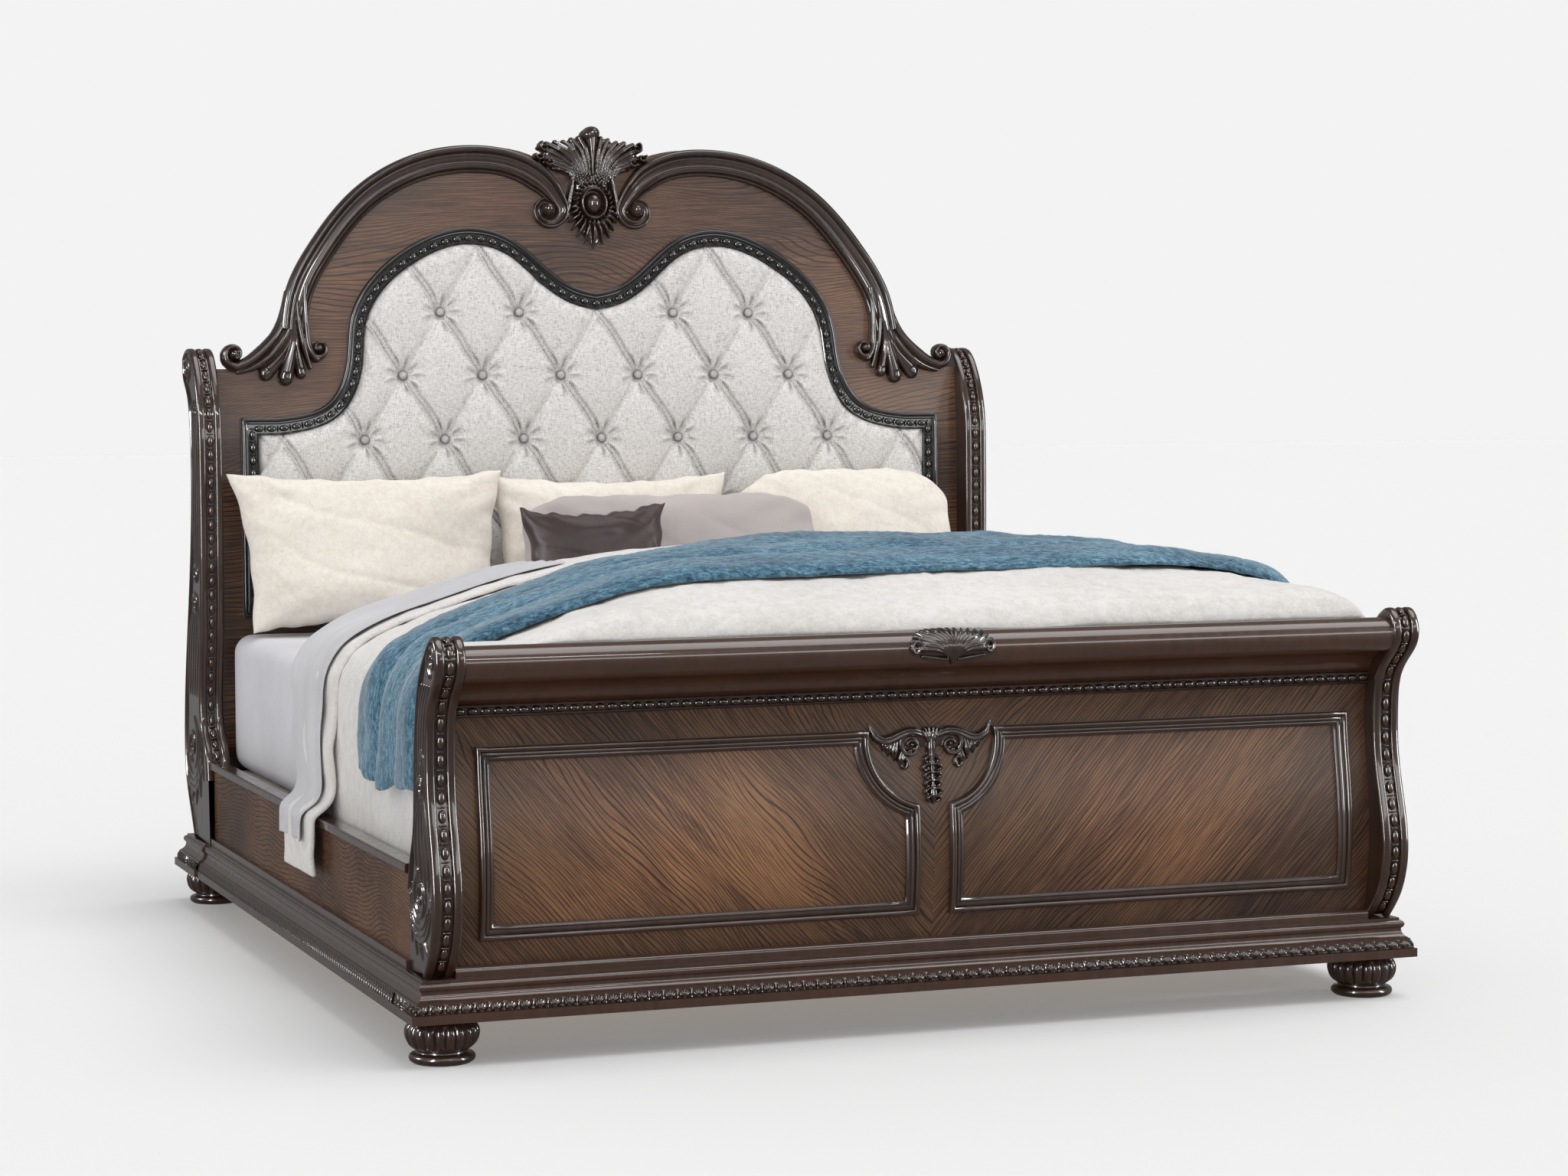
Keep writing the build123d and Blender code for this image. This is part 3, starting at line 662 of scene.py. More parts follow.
def dress_nodes():
    """Gives each CAD node its material."""
    other = {node: material for material, nodes in DRESS.items() for node in nodes}
    for node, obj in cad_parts.items():
        obj.data.materials.clear()
        obj.data.materials.append(MAT[other.get(node, "espresso")])


add_camera()
add_world()
add_stage()
dress_nodes()

# ---- carved relief ----
# How far outside an outline, in cells, a grid point is still pulled onto it.
BORDER_REACH = 0.8


def stroke(points, widths, heights, groove=0.0):
    """A carved ridge: a path in the carving's plane with its half widths and heights along it.

    groove is the depth of a vein down its middle.
    """
    path = spline(points, step=0.0025) if len(points) > 2 else resample(points, 12)
    t = np.linspace(0, 1, len(path))
    width = np.interp(t, np.linspace(0, 1, len(widths)), widths)
    height = np.interp(t, np.linspace(0, 1, len(heights)), heights)
    return path, width, height, groove


class Ridges(list):
    """The strokes of one carving."""

    def add(self, *numbers):
        self.append(stroke(*numbers))

    def pair(self, points, *numbers):
        """The same ridge on both sides of the middle."""
        for hand in (-1, 1):
            self.add(np.asarray(points) * [hand, 1], *numbers)


def spiral(centre, radius, start, turns, inner=0.25, count=40):
    """Points that wind inwards round centre from an angle in degrees; turns < 0 go clockwise."""
    t = np.linspace(0, 1, count)
    r = radius * (1 - (1 - inner) * t ** 0.8)
    a = math.radians(start) + 2 * math.pi * turns * t
    return np.stack([centre[0] + r * np.cos(a), centre[1] + r * np.sin(a)], 1)


def carve(us, vs, strokes, ground=0.0):
    """Heights on the grid us x vs: the highest ridge at each place."""
    height = np.full((len(us), len(vs)), float(ground))
    for path, width, top, groove in strokes:
        reach = width.max()
        iu = np.where((us > path[:, 0].min() - reach) & (us < path[:, 0].max() + reach))[0]
        iv = np.where((vs > path[:, 1].min() - reach) & (vs < path[:, 1].max() + reach))[0]
        if not len(iu) or not len(iv):
            continue
        uu, vv = np.meshgrid(us[iu], vs[iv], indexing="ij")
        best, best_h = np.full(uu.shape, np.inf), np.zeros(uu.shape)
        for i in range(len(path) - 1):
            a, d = path[i], path[i + 1] - path[i]
            t = np.clip(((uu - a[0]) * d[0] + (vv - a[1]) * d[1]) / max(d @ d, 1e-16), 0, 1)
            w = width[i] + (width[i + 1] - width[i]) * t
            q = np.hypot(uu - a[0] - d[0] * t, vv - a[1] - d[1] * t) / np.maximum(w, 1e-6)
            nearer = q < best
            best = np.where(nearer, q, best)
            best_h = np.where(nearer, top[i] + (top[i + 1] - top[i]) * t, best_h)
        inside = best < 1
        q = np.where(inside, best, 1.0)
        shape = best_h * np.sqrt(np.clip(1 - q ** 2.4, 0, 1))
        if groove:
            shape = shape - groove * np.exp(-(q / 0.22) ** 2) * inside
        sub = height[np.ix_(iu, iv)]
        height[np.ix_(iu, iv)] = np.where(inside, np.maximum(sub, shape), sub)
    return height


def ball(centre, radii, height):
    """A dome on an oval, as a function that raises a height grid."""
    def raise_(us, vs, grid):
        uu, vv = np.meshgrid(us, vs, indexing="ij")
        q = ((uu - centre[0]) / radii[0]) ** 2 + ((vv - centre[1]) / radii[1]) ** 2
        return np.where(q < 1, np.maximum(grid, height * np.sqrt(np.clip(1 - q, 0, 1))), grid)
    return raise_


def inside_distance(outline, points):
    """Signed distance to a closed outline, above 0 inside, and the nearest place on it."""
    a = np.asarray(outline, float)
    b = np.roll(a, -1, axis=0)
    best = np.full(len(points), np.inf)
    near = np.zeros((len(points), 2))
    inside = np.zeros(len(points), bool)
    for p, q in zip(a, b):
        d = q - p
        t = np.clip(((points - p) @ d) / max(d @ d, 1e-18), 0, 1)
        foot = p + t[:, None] * d
        dist = np.linalg.norm(points - foot, axis=1)
        closer = dist < best
        best = np.where(closer, dist, best)
        near[closer] = foot[closer]
        if p[1] != q[1]:
            crosses = (p[1] > points[:, 1]) != (q[1] > points[:, 1])
            at = p[0] + (points[:, 1] - p[1]) * d[0] / d[1]
            inside ^= crosses & (points[:, 0] < at)
    return np.where(inside, best, -best), near


def slab(uu, vv, heights, keep, place, back, closed=True):
    """A closed piece from a height grid: its carved front, its walls and a flat back.

    uu and vv are the grid's places, keep says which of its points belong and place(u, v, height)
    gives points in space. Without closed, the back stays open.
    """
    quads = grid_faces(*heights.shape)
    quads = quads[keep.reshape(-1)[quads].all(1)]
    used, flat = np.unique(quads, return_inverse=True)
    u, v, h = (g.reshape(-1)[used] for g in (uu, vv, heights))
    front, rear = place(u, v, h), place(u, v, np.full(len(u), back))
    return np.concatenate([front, rear]), shell_faces(flat.reshape(quads.shape), len(u), closed)


def outlined_slab(outline, cell, height_at, place, back=0.0, closed=True):
    """A carved slab cut to a closed outline, with its border points moved onto it."""
    low, high = outline.min(0) - 2 * cell, outline.max(0) + 2 * cell
    us, vs = (np.arange(low[i], high[i] + cell, cell) for i in (0, 1))
    uu, vv = np.meshgrid(us, vs, indexing="ij")
    distance, near = inside_distance(outline, np.stack([uu.ravel(), vv.ravel()], 1))
    distance = distance.reshape(uu.shape)
    near = near.reshape(*uu.shape, 2)
    heights = height_at(us, vs, distance)
    keep = distance > -BORDER_REACH * cell
    edge = (distance < 0) & keep
    uu, vv = np.where(edge, near[..., 0], uu), np.where(edge, near[..., 1], vv)
    return slab(uu, vv, heights, keep, place, back, closed)


def relief_slab(low, high, cell, strokes, place, bumps=(), cut=0.0018, back=0.0):
    """A carved slab that exists wherever its ridges stand higher than cut."""
    us, vs = (np.arange(low[i], high[i] + cell, cell) for i in (0, 1))
    heights = carve(us, vs, strokes)
    for bump in bumps:
        heights = bump(us, vs, heights)
    uu, vv = np.meshgrid(us, vs, indexing="ij")
    return slab(uu, vv, heights, heights > cut, place, back)


# ---- posts ----
# The posts' outlines as (y, z): up their fronts from the plinth, over the top and down their backs.
FOOT_FRONT = [(-1.144, .169), (-1.190, .222), (-1.221, .320), (-1.205, .420), (-1.179, .530),
              (-1.176, .620), (-1.190, .690), (-1.230, .733), (-1.256, .765), (-1.254, .808),
              (-1.224, .833), (-1.190, .820)]
FOOT_BACK = [(-1.190, .820), (-1.150, .786), (-1.112, .735), (-1.088, .660), (-1.072, .530),
             (-1.060, .440), (-1.032, .380), (-1.018, .330)]
HEAD_FRONT = [(.966, .330), (.990, .405), (1.040, .460), (1.053, .530), (1.034, .650),
              (1.018, .800), (1.015, .960), (1.016, 1.130), (1.029, 1.255), (1.066, 1.335),
              (1.128, 1.396), (1.184, 1.399), (1.222, 1.380)]
HEAD_BACK = [(1.222, 1.380), (1.222, 1.335), (1.170, 1.285), (1.138, 1.210), (1.128, 1.100),
             (1.140, .960), (1.178, .790), (1.242, .570), (1.2633, .440), (1.250, .310),
             (1.196, .230), (1.150, .169)]
CHANNEL = 0.0225
# The skin's rounded edge, the rim round the carved side and that side's depth under it.
EDGE_ROUND = .0075
RIM = 0.012
SIDE_DEPTH = .006
# The pitch of the beads in the channel, the radii of a bead and of the reel between two beads.
BEAD_PITCH = .0350
BEAD_RADII, REEL_RADII = (.0132, .0078, .0062), (.0022, .0085, .0045)
BEAD_DEPTH, FIRST_BEAD = .0055, .03


def inward_offset(path, distance):
    """A copy of a (y, z) path moved to its right, the post's inside."""
    t = tangents(path)
    normal = np.stack([t[:, 1], -t[:, 0]], 1)
    return path + normal * distance


def at_x(x, places):
    """(y, z) places as points at one x."""
    return np.concatenate([np.full((len(places), 1), x), places], 1)


def post_shell(path, front_count, x_low, x_high):
    """The post's skin across its width, with a bead channel down its front."""
    width = x_high - x_low
    mid = width / 2
    ch = CHANNEL / 2
    # (across, depth) places from the inner edge to the channel's middle.
    edge = [(0.0, EDGE_ROUND), (.0006, .0042), (.0022, .0018), (.0050, .0004), (.0085, 0)]
    rib = [(mid - ch - .0050, 0), (mid - ch - .0022, .0008), (mid - ch - .0005, .0030),
           (mid - ch, .0080), (mid, .0080)]
    half = np.array(edge + rib)
    flat = half.copy()
    flat[len(edge):, 1] = 0
    with_channel, plain = (np.concatenate([side, [width, 0] + side[:-1][::-1] * [-1, 1]])
                           for side in (half, flat))
    t = tangents(path)
    blend = np.clip((front_count + 4 - np.arange(len(path))) / 8, 0, 1)[:, None, None]
    profile = with_channel * blend + plain * (1 - blend)
    inwards = np.stack([np.zeros(len(t)), t[:, 1], -t[:, 0]], 1)[:, None]
    verts = at_x(x_low, path)[:, None] + profile[..., :1] * [1.0, 0, 0] + inwards * profile[..., 1:]
    return verts.reshape(-1, 3), grid_faces(*verts.shape[:2]).tolist()


def bead_row(path, x_mid):
    """Beads and small reels along a post's channel."""
    t = lengths_along(path)
    ways, along = inward_offset(path, BEAD_DEPTH), tangents(path)
    parts = []
    at = FIRST_BEAD
    while at < t[-1]:
        for s, radii in ((at, BEAD_RADII), (at + BEAD_PITCH / 2, REEL_RADII)):
            if s > t[-1]:
                continue
            p, d = point_at(s, t, ways), np.array(point_at(s, t, along))
            d = d / np.linalg.norm(d)
            axes = [(0, d[0], d[1]), (1, 0, 0), (0, -d[1], d[0])]
            parts.append(ellipsoid((x_mid, *p), axes, radii, 8, 12))
        at += BEAD_PITCH
    return join_meshes(parts)


def post(kind, front, back, foot_point, x_range, side_strokes, cell):
    """Both posts of an end: skin, beads and a carved outer side."""
    front_path, back_path = spline(front, step=.006), spline(back, step=.006)
    path = np.concatenate([front_path, back_path[1:]])
    low, high = x_range
    floor_x = high - SIDE_DEPTH
    # Down the rim's inner wall, from the skin's edge to the carved floor.
    loops = [at_x(x, inward_offset(path, inset))
             for inset, x in ((EDGE_ROUND, high), (RIM - .004, high), (RIM - .002, high - .001),
                              (RIM, floor_x))]
    parts = [post_shell(path, len(front_path), low, high),
             (np.concatenate(loops), grid_faces(len(loops), len(path)).tolist())]
    for inset, x in ((EDGE_ROUND, low), (RIM - .002, floor_x)):
        cap = at_x(x, np.concatenate([inward_offset(path, inset), [foot_point]]))
        parts.append((cap, [list(range(len(cap)))]))
    wood = join_meshes(parts)
    beads = bead_row(front_path, (low + high) / 2)

    def heights(us, vs, distance):
        grid = carve(us, vs, side_strokes, ground=.0006)
        return np.minimum(grid, np.maximum(distance, 0) * 1.6 + .0006)

    def place(u, v, h):
        return np.stack([floor_x + h, u, v], 1)

    field = np.concatenate([inward_offset(path, RIM + .0005), [foot_point]])
    carving = outlined_slab(field, cell, heights, place, back=-.0005)
    for hand, turn in (("right", lambda part: part), ("left", mirrored)):
        carved(f"{kind}_post_{hand}_wood", turn(wood), f"{kind}_post_{hand}", sharp=40)
        carved(f"{kind}_post_beads_{hand}", turn(beads), f"{kind}_post_beads")
        carved(f"{kind}_post_carving_{hand}", turn(carving), f"{kind}_post_carvings")


def across_post(front, back):
    """A function from (share across, z) to a (y, z) place on a post's side."""
    sides = []
    for points in (front, back):
        path = spline(points, step=.003)
        sides.append(path[np.argsort(path[:, 1], kind="stable")])

    def at(share, z):
        a, b = (np.interp(z, path[:, 1], path[:, 0]) for path in sides)
        return (a + share * (b - a), z)
    return at


def scroll(centre, radius, start, turns, inner, widths, heights=(.005, .006)):
    """A ridge that winds inwards."""
    return stroke(spiral(centre, radius, start, turns, inner), widths, heights)


def add_strands(s, centre, strands, widths):
    """Thin strands that follow a scroll's outside: (radius, start, turns, inner, count) each."""
    for strand in strands:
        s.add(spiral(centre, *strand), widths, (.004, .0052, .004), .0010)


def add_rays(s, centre, angles, tip_radii, root_radii, turn, widths):
    """Short leaves that point away from a scroll, turned by turn radians at their roots."""
    for a in angles:
        tip, root = ((centre[0] + radii[0] * math.cos(b), centre[1] + radii[1] * math.sin(b))
                     for radii, b in ((tip_radii, a), (root_radii, a + turn)))
        s.add([root, tip], widths, (.004, .0055, .003), .001)


def foot_side_strokes():
    """The acanthus scrolls on the footboard posts' sides."""
    at = across_post(FOOT_FRONT[:8], FOOT_BACK[2:])
    belly = (-1.108, .322)
    # The top volute in two turns, the two small scrolls at the waist and the belly's large one.
    s = Ridges([scroll((-1.214, .788), .036, -60, 1.6, .16, (.0075, .0055, .003)),
                scroll((-1.214, .788), .022, 120, 1.0, .2, (.004, .003), (.004, .005)),
                scroll((-1.132, .590), .020, 200, -1.3, .2, (.0055, .0035)),
                scroll((-1.120, .535), .022, 20, 1.3, .2, (.006, .0035)),
                scroll(belly, .052, 70, -1.7, .14, (.0085, .0065, .003))])
    for i in range(5):
        # Neck flutes that run from the volute to the belly.
        share = .14 + .18 * i
        s.add([at(share * .9 + .03, .735), at(share, .70), at(share, .64),
               at(share * .9 + .05, .58), at(.5 + (share - .5) * .35, .515)],
              (.003, .0075, .0075, .006, .002), (.004, .0055, .005, .003), .0012)
        # Leaves that sweep into the belly.
        share = .10 + .17 * i
        s.add([at(.40 + .06 * i, .520), at(share + .10, .46), at(share, .40),
               at(share * .8 + .02, .34)],
              (.002, .0085, .0080, .002), (.003, .0058, .0055, .003), .0012)
    add_strands(s, belly, [(radius, 20 - 8 * k, -.48 - .02 * k, .86, 14)
                           for k, radius in enumerate((.064, .078, .092))],
                (.002, .0062, .0062, .002))
    add_rays(s, belly, [math.radians(-118 + 22 * k) for k in range(4)],
             (.112, .120), (.070, .075), .35, (.004, .008, .002))
    return s


def head_side_strokes():
    """The same carving, longer, on the headboard posts' sides."""
    at = across_post(HEAD_FRONT[3:10], HEAD_BACK[3:9])
    belly = (1.165, .400)
    s = Ridges([scroll((1.180, 1.352), .034, 250, -1.6, .16, (.0080, .0060, .003)),
                scroll((1.098, .835), .030, 160, -1.4, .2, (.0070, .004)),
                scroll((1.112, .760), .030, 20, 1.4, .2, (.0075, .004)),
                scroll(belly, .072, 110, 1.7, .14, (.0105, .0080, .004))])
    for i in range(4):
        share = .16 + .22 * i
        s.add([at(share, 1.270), at(share, 1.18), at(share, 1.06), at(share, .95),
               at(.5 + (share - .5) * .5, .86)],
              (.003, .0090, .0090, .0080, .003), (.004, .0055, .005, .003), .0012)
    for i in range(6):
        share = .10 + .15 * i
        s.add([at(.30 + .07 * i, .755), at(share, .68), at(share, .60),
               at(min(share + .05, .9), .53)],
              (.002, .0095, .0100, .003), (.003, .0058, .0055, .003), .0012)
    add_strands(s, belly, [(radius, 150 + 8 * k, .55, .88, 16)
                           for k, radius in enumerate((.086, .103, .120))],
                (.002, .0075, .0075, .002))
    add_rays(s, belly, [math.radians(-150 + 24 * k) for k in range(5)],
             (.150, .150), (.098, .098), -.3, (.005, .010, .003))
    return s


post("footboard", FOOT_FRONT, FOOT_BACK, (-1.018, .169), FOOT_POST_X, foot_side_strokes(), .0016)
post("headboard", HEAD_FRONT, HEAD_BACK, (.966, .169), HEAD_POST_X, head_side_strokes(), .0022)

# ---- footboard trim ----
# The footboard's face as (y, z), from the plinth up.
PANEL_FRONT = [(-1.134, .169), (-1.147, .240), (-1.158, .345), (-1.149, .470), (-1.133, .590),
               (-1.134, .640), (-1.150, .694)]
panel_curve = spline(PANEL_FRONT, step=.004)


def panel_y(z):
    return np.interp(z, panel_curve[:, 1], panel_curve[:, 0])


def on_panel(u, v, h):
    """A place on the footboard's face at (u, v), standing h proud."""
    return np.stack([u, panel_y(v) - h, v], 1)


# The right panel frame's outline and, as (inset, height), the section of its moulding.
FRAME_OUTER, FRAME_INNER, FRAME_TOP, FRAME_BOTTOM = .949, .033, .612, .236
HOLLOW_CENTRE, HOLLOW_RADIUS = (.0069, .5886), .1292
FRAME_PROFILE = [(0, 0), (.0005, .0120), (.0025, .0155), (.0060, .0168), (.0095, .0155),
                 (.0115, .0120), (.0125, .0100), (.0140, .0112), (.0165, .0118), (.0188, .0110),
                 (.0200, .0085), (.0210, .0075), (.0228, .0082), (.0250, .0080), (.0268, .0062),
                 (.0285, .0050), (.0298, .0040), (.0300, 0)]


def frame_ring(inset):
    """The panel frame's outline in (x, z), moved inwards; its hollow corner keeps one centre."""
    left, right = FRAME_INNER + inset, FRAME_OUTER - inset
    low, high = FRAME_BOTTOM + inset, FRAME_TOP - inset
    cx, cz = HOLLOW_CENTRE
    radius = HOLLOW_RADIUS + inset
    hollow = arc(HOLLOW_CENTRE, radius, math.degrees(math.asin((high - cz) / radius)),
                 -math.degrees(math.acos((left - cx) / radius)), 30)
    return np.concatenate([resample([hollow[-1], (left, low)], 16)[:-1],
                           resample([(left, low), (right, low)], 20)[:-1],
                           resample([(right, low), (right, high)], 24)[:-1],
                           resample([(right, high), hollow[0]], 20)[:-1],
                           hollow[:-1]])


def panel_frames():
    """The mouldings round the two veneered panels."""
    part = ring_stack([on_panel(*frame_ring(inset).T, height) for inset, height in FRAME_PROFILE])
    carved_pair("panel_frame_{}_moulding", part, "panel_frame_{}", sharp=50, fix=True)


def bead_strip():
    """The beaded moulding under the footboard's roll."""
    half = FOOT_POST_X[0]
    low, high, pitch = .669, .694, .0255
    section = [(low, 0), (low, .008), (low + .0012, .0110), (low + .0030, .0118),
               (low + .0046, .0105), (low + .0052, .0040), (high - .0052, .0040),
               (high - .0046, .0105), (high - .0030, .0118), (high - .0012, .0110),
               (high, .008), (high, 0)]
    parts = [ring_stack([on_panel(np.full(len(section), x), *np.array(section).T)
                         for x in (-half, half)])]
    count = int(2 * half / pitch)
    for x in (np.arange(count) - (count - 1) / 2) * pitch:
        at = on_panel(*np.array([[x], [(low + high) / 2], [.0065]]))[0]
        parts.append(ellipsoid(at, np.eye(3), (.0108, .0070, .0072), 8, 12))
    carved("footboard_bead_moulding", join_meshes(parts), "footboard_bead_strip", sharp=45)


def applique():
    """The palmette and acanthus drop between the two panels."""
    s = Ridges()

    def p(*points):
        return np.array(points) * MM

    # The solid wood under the leaves.
    s.pair(p((6, 588), (40, 590), (80, 582), (114, 592)),
           (.017, .020, .015, .006), (.0040, .0042, .0040, .0030))
    # The wing: from the palmette out to the upswept tip.
    s.pair(p((10, 596), (38, 606), (72, 598), (98, 590), (118, 598), (133, 624)),
           (.006, .0105, .0110, .0120, .0100, .0015), (.010, .014, .014, .013, .011, .004), .0022)
    s.pair(p((96, 592), (110, 594), (122, 603)), (.003, .005, .001), (.011, .010, .004))
    # The big inner spiral.
    s.pair(spiral((.044, .578), .026, 75, -1.15, .30), (.0065, .0055, .0035), (.013, .012), .0015)
    for x, z in ((38, 572), (46, 568), (42, 580)):
        s.pair(p((x, z), (x + .6, z)), (.0052, .0052), (.0135, .0135))
    # Leaves that hang from the wing's underside.
    for x0, z0, x1, z1, wide in ((94, 592, 104, 568, .0080), (84, 592, 93, 557, .0085),
                                 (74, 590, 79, 546, .0090), (60, 572, 66, 532, .0090)):
        s.pair(p((x0, z0), ((x0 + x1) / 2 + 3, (z0 + z1) / 2), (x1, z1)),
               (wide * .5, wide, .0015), (.011, .012, .004), .0030)
    s.pair(p((60, 556), (52, 543), (58, 533), (66, 538)), (.004, .0050, .003), (.010, .010, .006))
    # The palmette's fan.
    for x0, x1, z1 in ((2, 5, 612), (5, 13, 611), (8, 20, 607)):
        s.pair(p((x0, 584), ((x0 + x1) / 2, 598), (x1, z1)), (.0025, .0042, .0035),
               (.012, .014, .012))
    # Curls down the drop.
    for z, reach in ((556, 15), (540, 20), (524, 17), (508, 16), (492, 17), (478, 13)):
        s.pair(p((3, z), (reach * .8, z - 2), (reach, z - 9), (reach * .6, z - 12)),
               (.0034, .0044, .0030), (.013, .014, .008))
    # The drop's ground, its two buds and its tip.
    for zs, widths, tops, groove in (
            ((.600, .530, .468), (.013, .012, .007), (.0040, .0040, .0030), 0.0),
            ((.600, .570, .545), (.0075, .0105, .0070), (.013, .014, .012), .002),
            ((.550, .520, .492), (.0060, .0055, .0050), (.012, .012, .011), .002),
            ((.494, .480, .463), (.0080, .0105, .0030), (.011, .013, .006), .002)):
        s.add([(0, z) for z in zs], widths, tops, groove)
    part = relief_slab((-.136, .458), (.136, .630), .0012, s, on_panel, back=-.001)
    carved("footboard_palmette", part, "footboard_applique", sharp=70)


ROLL_CENTRE = (-1.217, .777)
ROLL_RADIUS = .036
SHELL_TURN = math.radians(38)


def roll_shell():
    """The scallop shell that wraps the roll's middle."""
    def on_roll(u, v, h):
        angle = SHELL_TURN + v / ROLL_RADIUS
        radius = ROLL_RADIUS + h
        return np.stack([u, ROLL_CENTRE[0] - radius * np.cos(angle),
                         ROLL_CENTRE[1] + radius * np.sin(angle)], 1)

    s = Ridges()
    root = np.array([0.0, -.040])
    for i, ra in enumerate(np.radians(np.linspace(-84, 84, 17))):
        tip = np.array([.088 * math.sin(ra), -.030 + .066 * math.cos(ra) ** .8])
        low = root + (tip - root) * .32 + np.array([-math.sin(ra) * .004, .007])
        mid = root + (tip - root) * .68 + np.array([math.sin(ra) * .009, .005])
        wide = .0068 if i % 2 else .0050
        s.add([root, low, mid, tip], (.0026, wide * .8, wide, wide * .80),
              (.0095, .0118, .0110, .0065))
    s.pair(spiral((.078, -.020), .016, 190, -1.1, .3), (.0050, .0035), (.0095, .0105))
    s.pair([(.012, -.040), (.040, -.038), (.066, -.034)],
           (.004, .006, .004), (.0095, .0100, .008), .0015)
    s.add([(0, -.048), (0, -.034), (0, -.022)], (.005, .0090, .003), (.010, .0118, .010), .002)
    part = relief_slab((-.100, -.054), (.100, .042), .0013, s, on_roll, back=-.001)
    carved("roll_scallop_shell", part, "roll_shell_carving", sharp=70)


panel_frames()
bead_strip()
applique()
roll_shell()


# ---- plinth bands and feet ----
BAND_LOW, BAND_HEIGHT = PLINTH_LOW + .018, .020
BAND_PITCH, ROPE_PITCH = .0295, .0190
# How far the band's face lies behind the plinth's edge, at its foot, its middle and its top.
BAND_INSET = (.0097, .0117, .0162)


def band_tile(cell_along, count_along, rope, pitch):
    """Heights of one motif of the carved band: (along, up) in metres."""
    us = (np.arange(count_along) + .5) * cell_along
    vs = np.linspace(0, BAND_HEIGHT, 15)
    if rope:
        return carve(us, vs, [
            stroke([(k * pitch - .004, .001), (k * pitch + pitch + .002, .019)],
                   (.0062, .0066, .0062), (.0055, .0062, .0055)) for k in (-1, 0, 1)])
    s = Ridges()
    mid = pitch / 2
    for a in (-58, -30, 0, 30, 58):
        ra = math.radians(a)
        tip = (mid + .0115 * math.sin(ra), .003 + .0135 * math.cos(ra))
        s.add([(mid + .002 * math.sin(ra), .003), tip], (.0012, .0026, .0020),
              (.0040, .0058, .0035))
    for edge in (0.0, pitch):
        s.add([(edge, .002), (edge, .018)], (.0020, .0026, .0020),
              (.0050, .0058, .0050))
        s.add([(edge - .005, .0155), (edge, .0185), (edge + .005, .0155)],
              (.0016, .0022, .0016), (.0040, .0050, .0040))
    for up, wide in ((.0012, .0016), (.0190, .0012)):
        s.add([(0, up), (pitch, up)], (wide, wide), (.0040, .0040))
    return carve(us, vs, s)


def band_run(start, end, out, rope=False):
    """One straight run of carved band from start to end, both (x, y) on the plinth's outer edge."""
    start, end, out = (np.asarray(a, float) for a in (start, end, out))
    length = np.linalg.norm(end - start)
    tiles = max(int(round(length / (ROPE_PITCH if rope else BAND_PITCH))), 1)
    pitch = length / tiles
    cells = 12 if rope else 18
    tile = band_tile(pitch / cells, cells, rope, pitch)
    heights = np.concatenate([np.tile(tile, (tiles, 1)), tile[:1]])
    along = np.linspace(0, 1, len(heights))
    vs = np.linspace(0, BAND_HEIGHT, heights.shape[1])
    depth = np.interp(vs, [0, BAND_HEIGHT / 2, BAND_HEIGHT], BAND_INSET)[None] - heights
    # The ends are mitred, so the run shortens as it steps in.
    d = (end - start) / length
    centre = (start + (end - start) * along[:, None] - (start + end) / 2) @ d
    shrink = 1 - depth * 2 / length
    xy = ((start + end) / 2)[None, None] + (centre[:, None] * shrink)[..., None] * d \
        - depth[..., None] * out
    z = np.broadcast_to(BAND_LOW + vs, heights.shape)
    verts = np.concatenate([xy, z[..., None]], -1).reshape(-1, 3)
    return verts, grid_faces(*heights.shape).tolist()


def plinth_bands():
    """The carved bands round both bases and the rope bands between them."""
    for kind, half, y_edge, y_flat in (("footboard", BASE_HALF, FOOT_Y, FOOT_BASE_BACK),
                                       ("headboard", HEAD_BASE_HALF, HEAD_Y, HEAD_BASE_FRONT)):
        runs = [band_run((-half, y_edge), (half, y_edge), (0, math.copysign(1, y_edge))),
                band_run((half, y_edge), (half, y_flat), (1, 0)),
                band_run((-half, y_edge), (-half, y_flat), (-1, 0))]
        carved(f"{kind}_plinth_carving", join_meshes(runs), f"{kind}_carved_band")
    runs = [band_run((side * BASE_HALF, FOOT_BASE_BACK), (side * BASE_HALF, HEAD_BASE_FRONT),
                     (side, 0), rope=True) for side in (-1, 1)]
    carved("rail_plinth_carving", join_meshes(runs), "rail_carved_bands")


def bun_foot(name, x, y):
    """A turned foot whose bulb is cut with rounded flutes."""
    outline = np.concatenate([
        [(.050, .0)], [(.0565, .0)], arc((.0565, .010), .0085, -80, 80, 8), [(.0520, .0195)],
        [(.0505, .0215)], [(.0505, .0245)],
        spline([(.0520, .0255), (.0640, .0340), (.0715, .0470), (.0735, .0590), (.0705, .0710),
                (.0640, .0790)], count=16),
        [(.0615, .0815)], arc((.0600, .0845), .0030, -70, 90, 5), [(.0570, .0880)]])
    flutes, per = 20, 8
    turn = np.linspace(0, 2 * math.pi, flutes * per, endpoint=False)
    lobes = np.abs(np.cos(turn * flutes / 2)) ** .7
    rows = []
    for r, z in outline:
        depth = .0062 * np.clip((z - .026) / .012, 0, 1) * np.clip((.0800 - z) / .006, 0, 1)
        radius = r - depth * (1 - lobes)
        rows.append(np.stack([x + radius * np.cos(turn), y + radius * np.sin(turn),
                              np.full(len(turn), z)], 1))
    verts, faces = ring_stack(rows)
    faces += end_caps(len(rows), len(turn))
    carved(name + "_turned", (verts, faces), name, sharp=50, fix=True)


plinth_bands()
for end, foot_y in (("front", -1.102), ("back", 1.158)):
    for side, foot_x in (("left", -1.010), ("right", 1.010)):
        bun_foot(f"bun_foot_{end}_{side}", foot_x, foot_y)

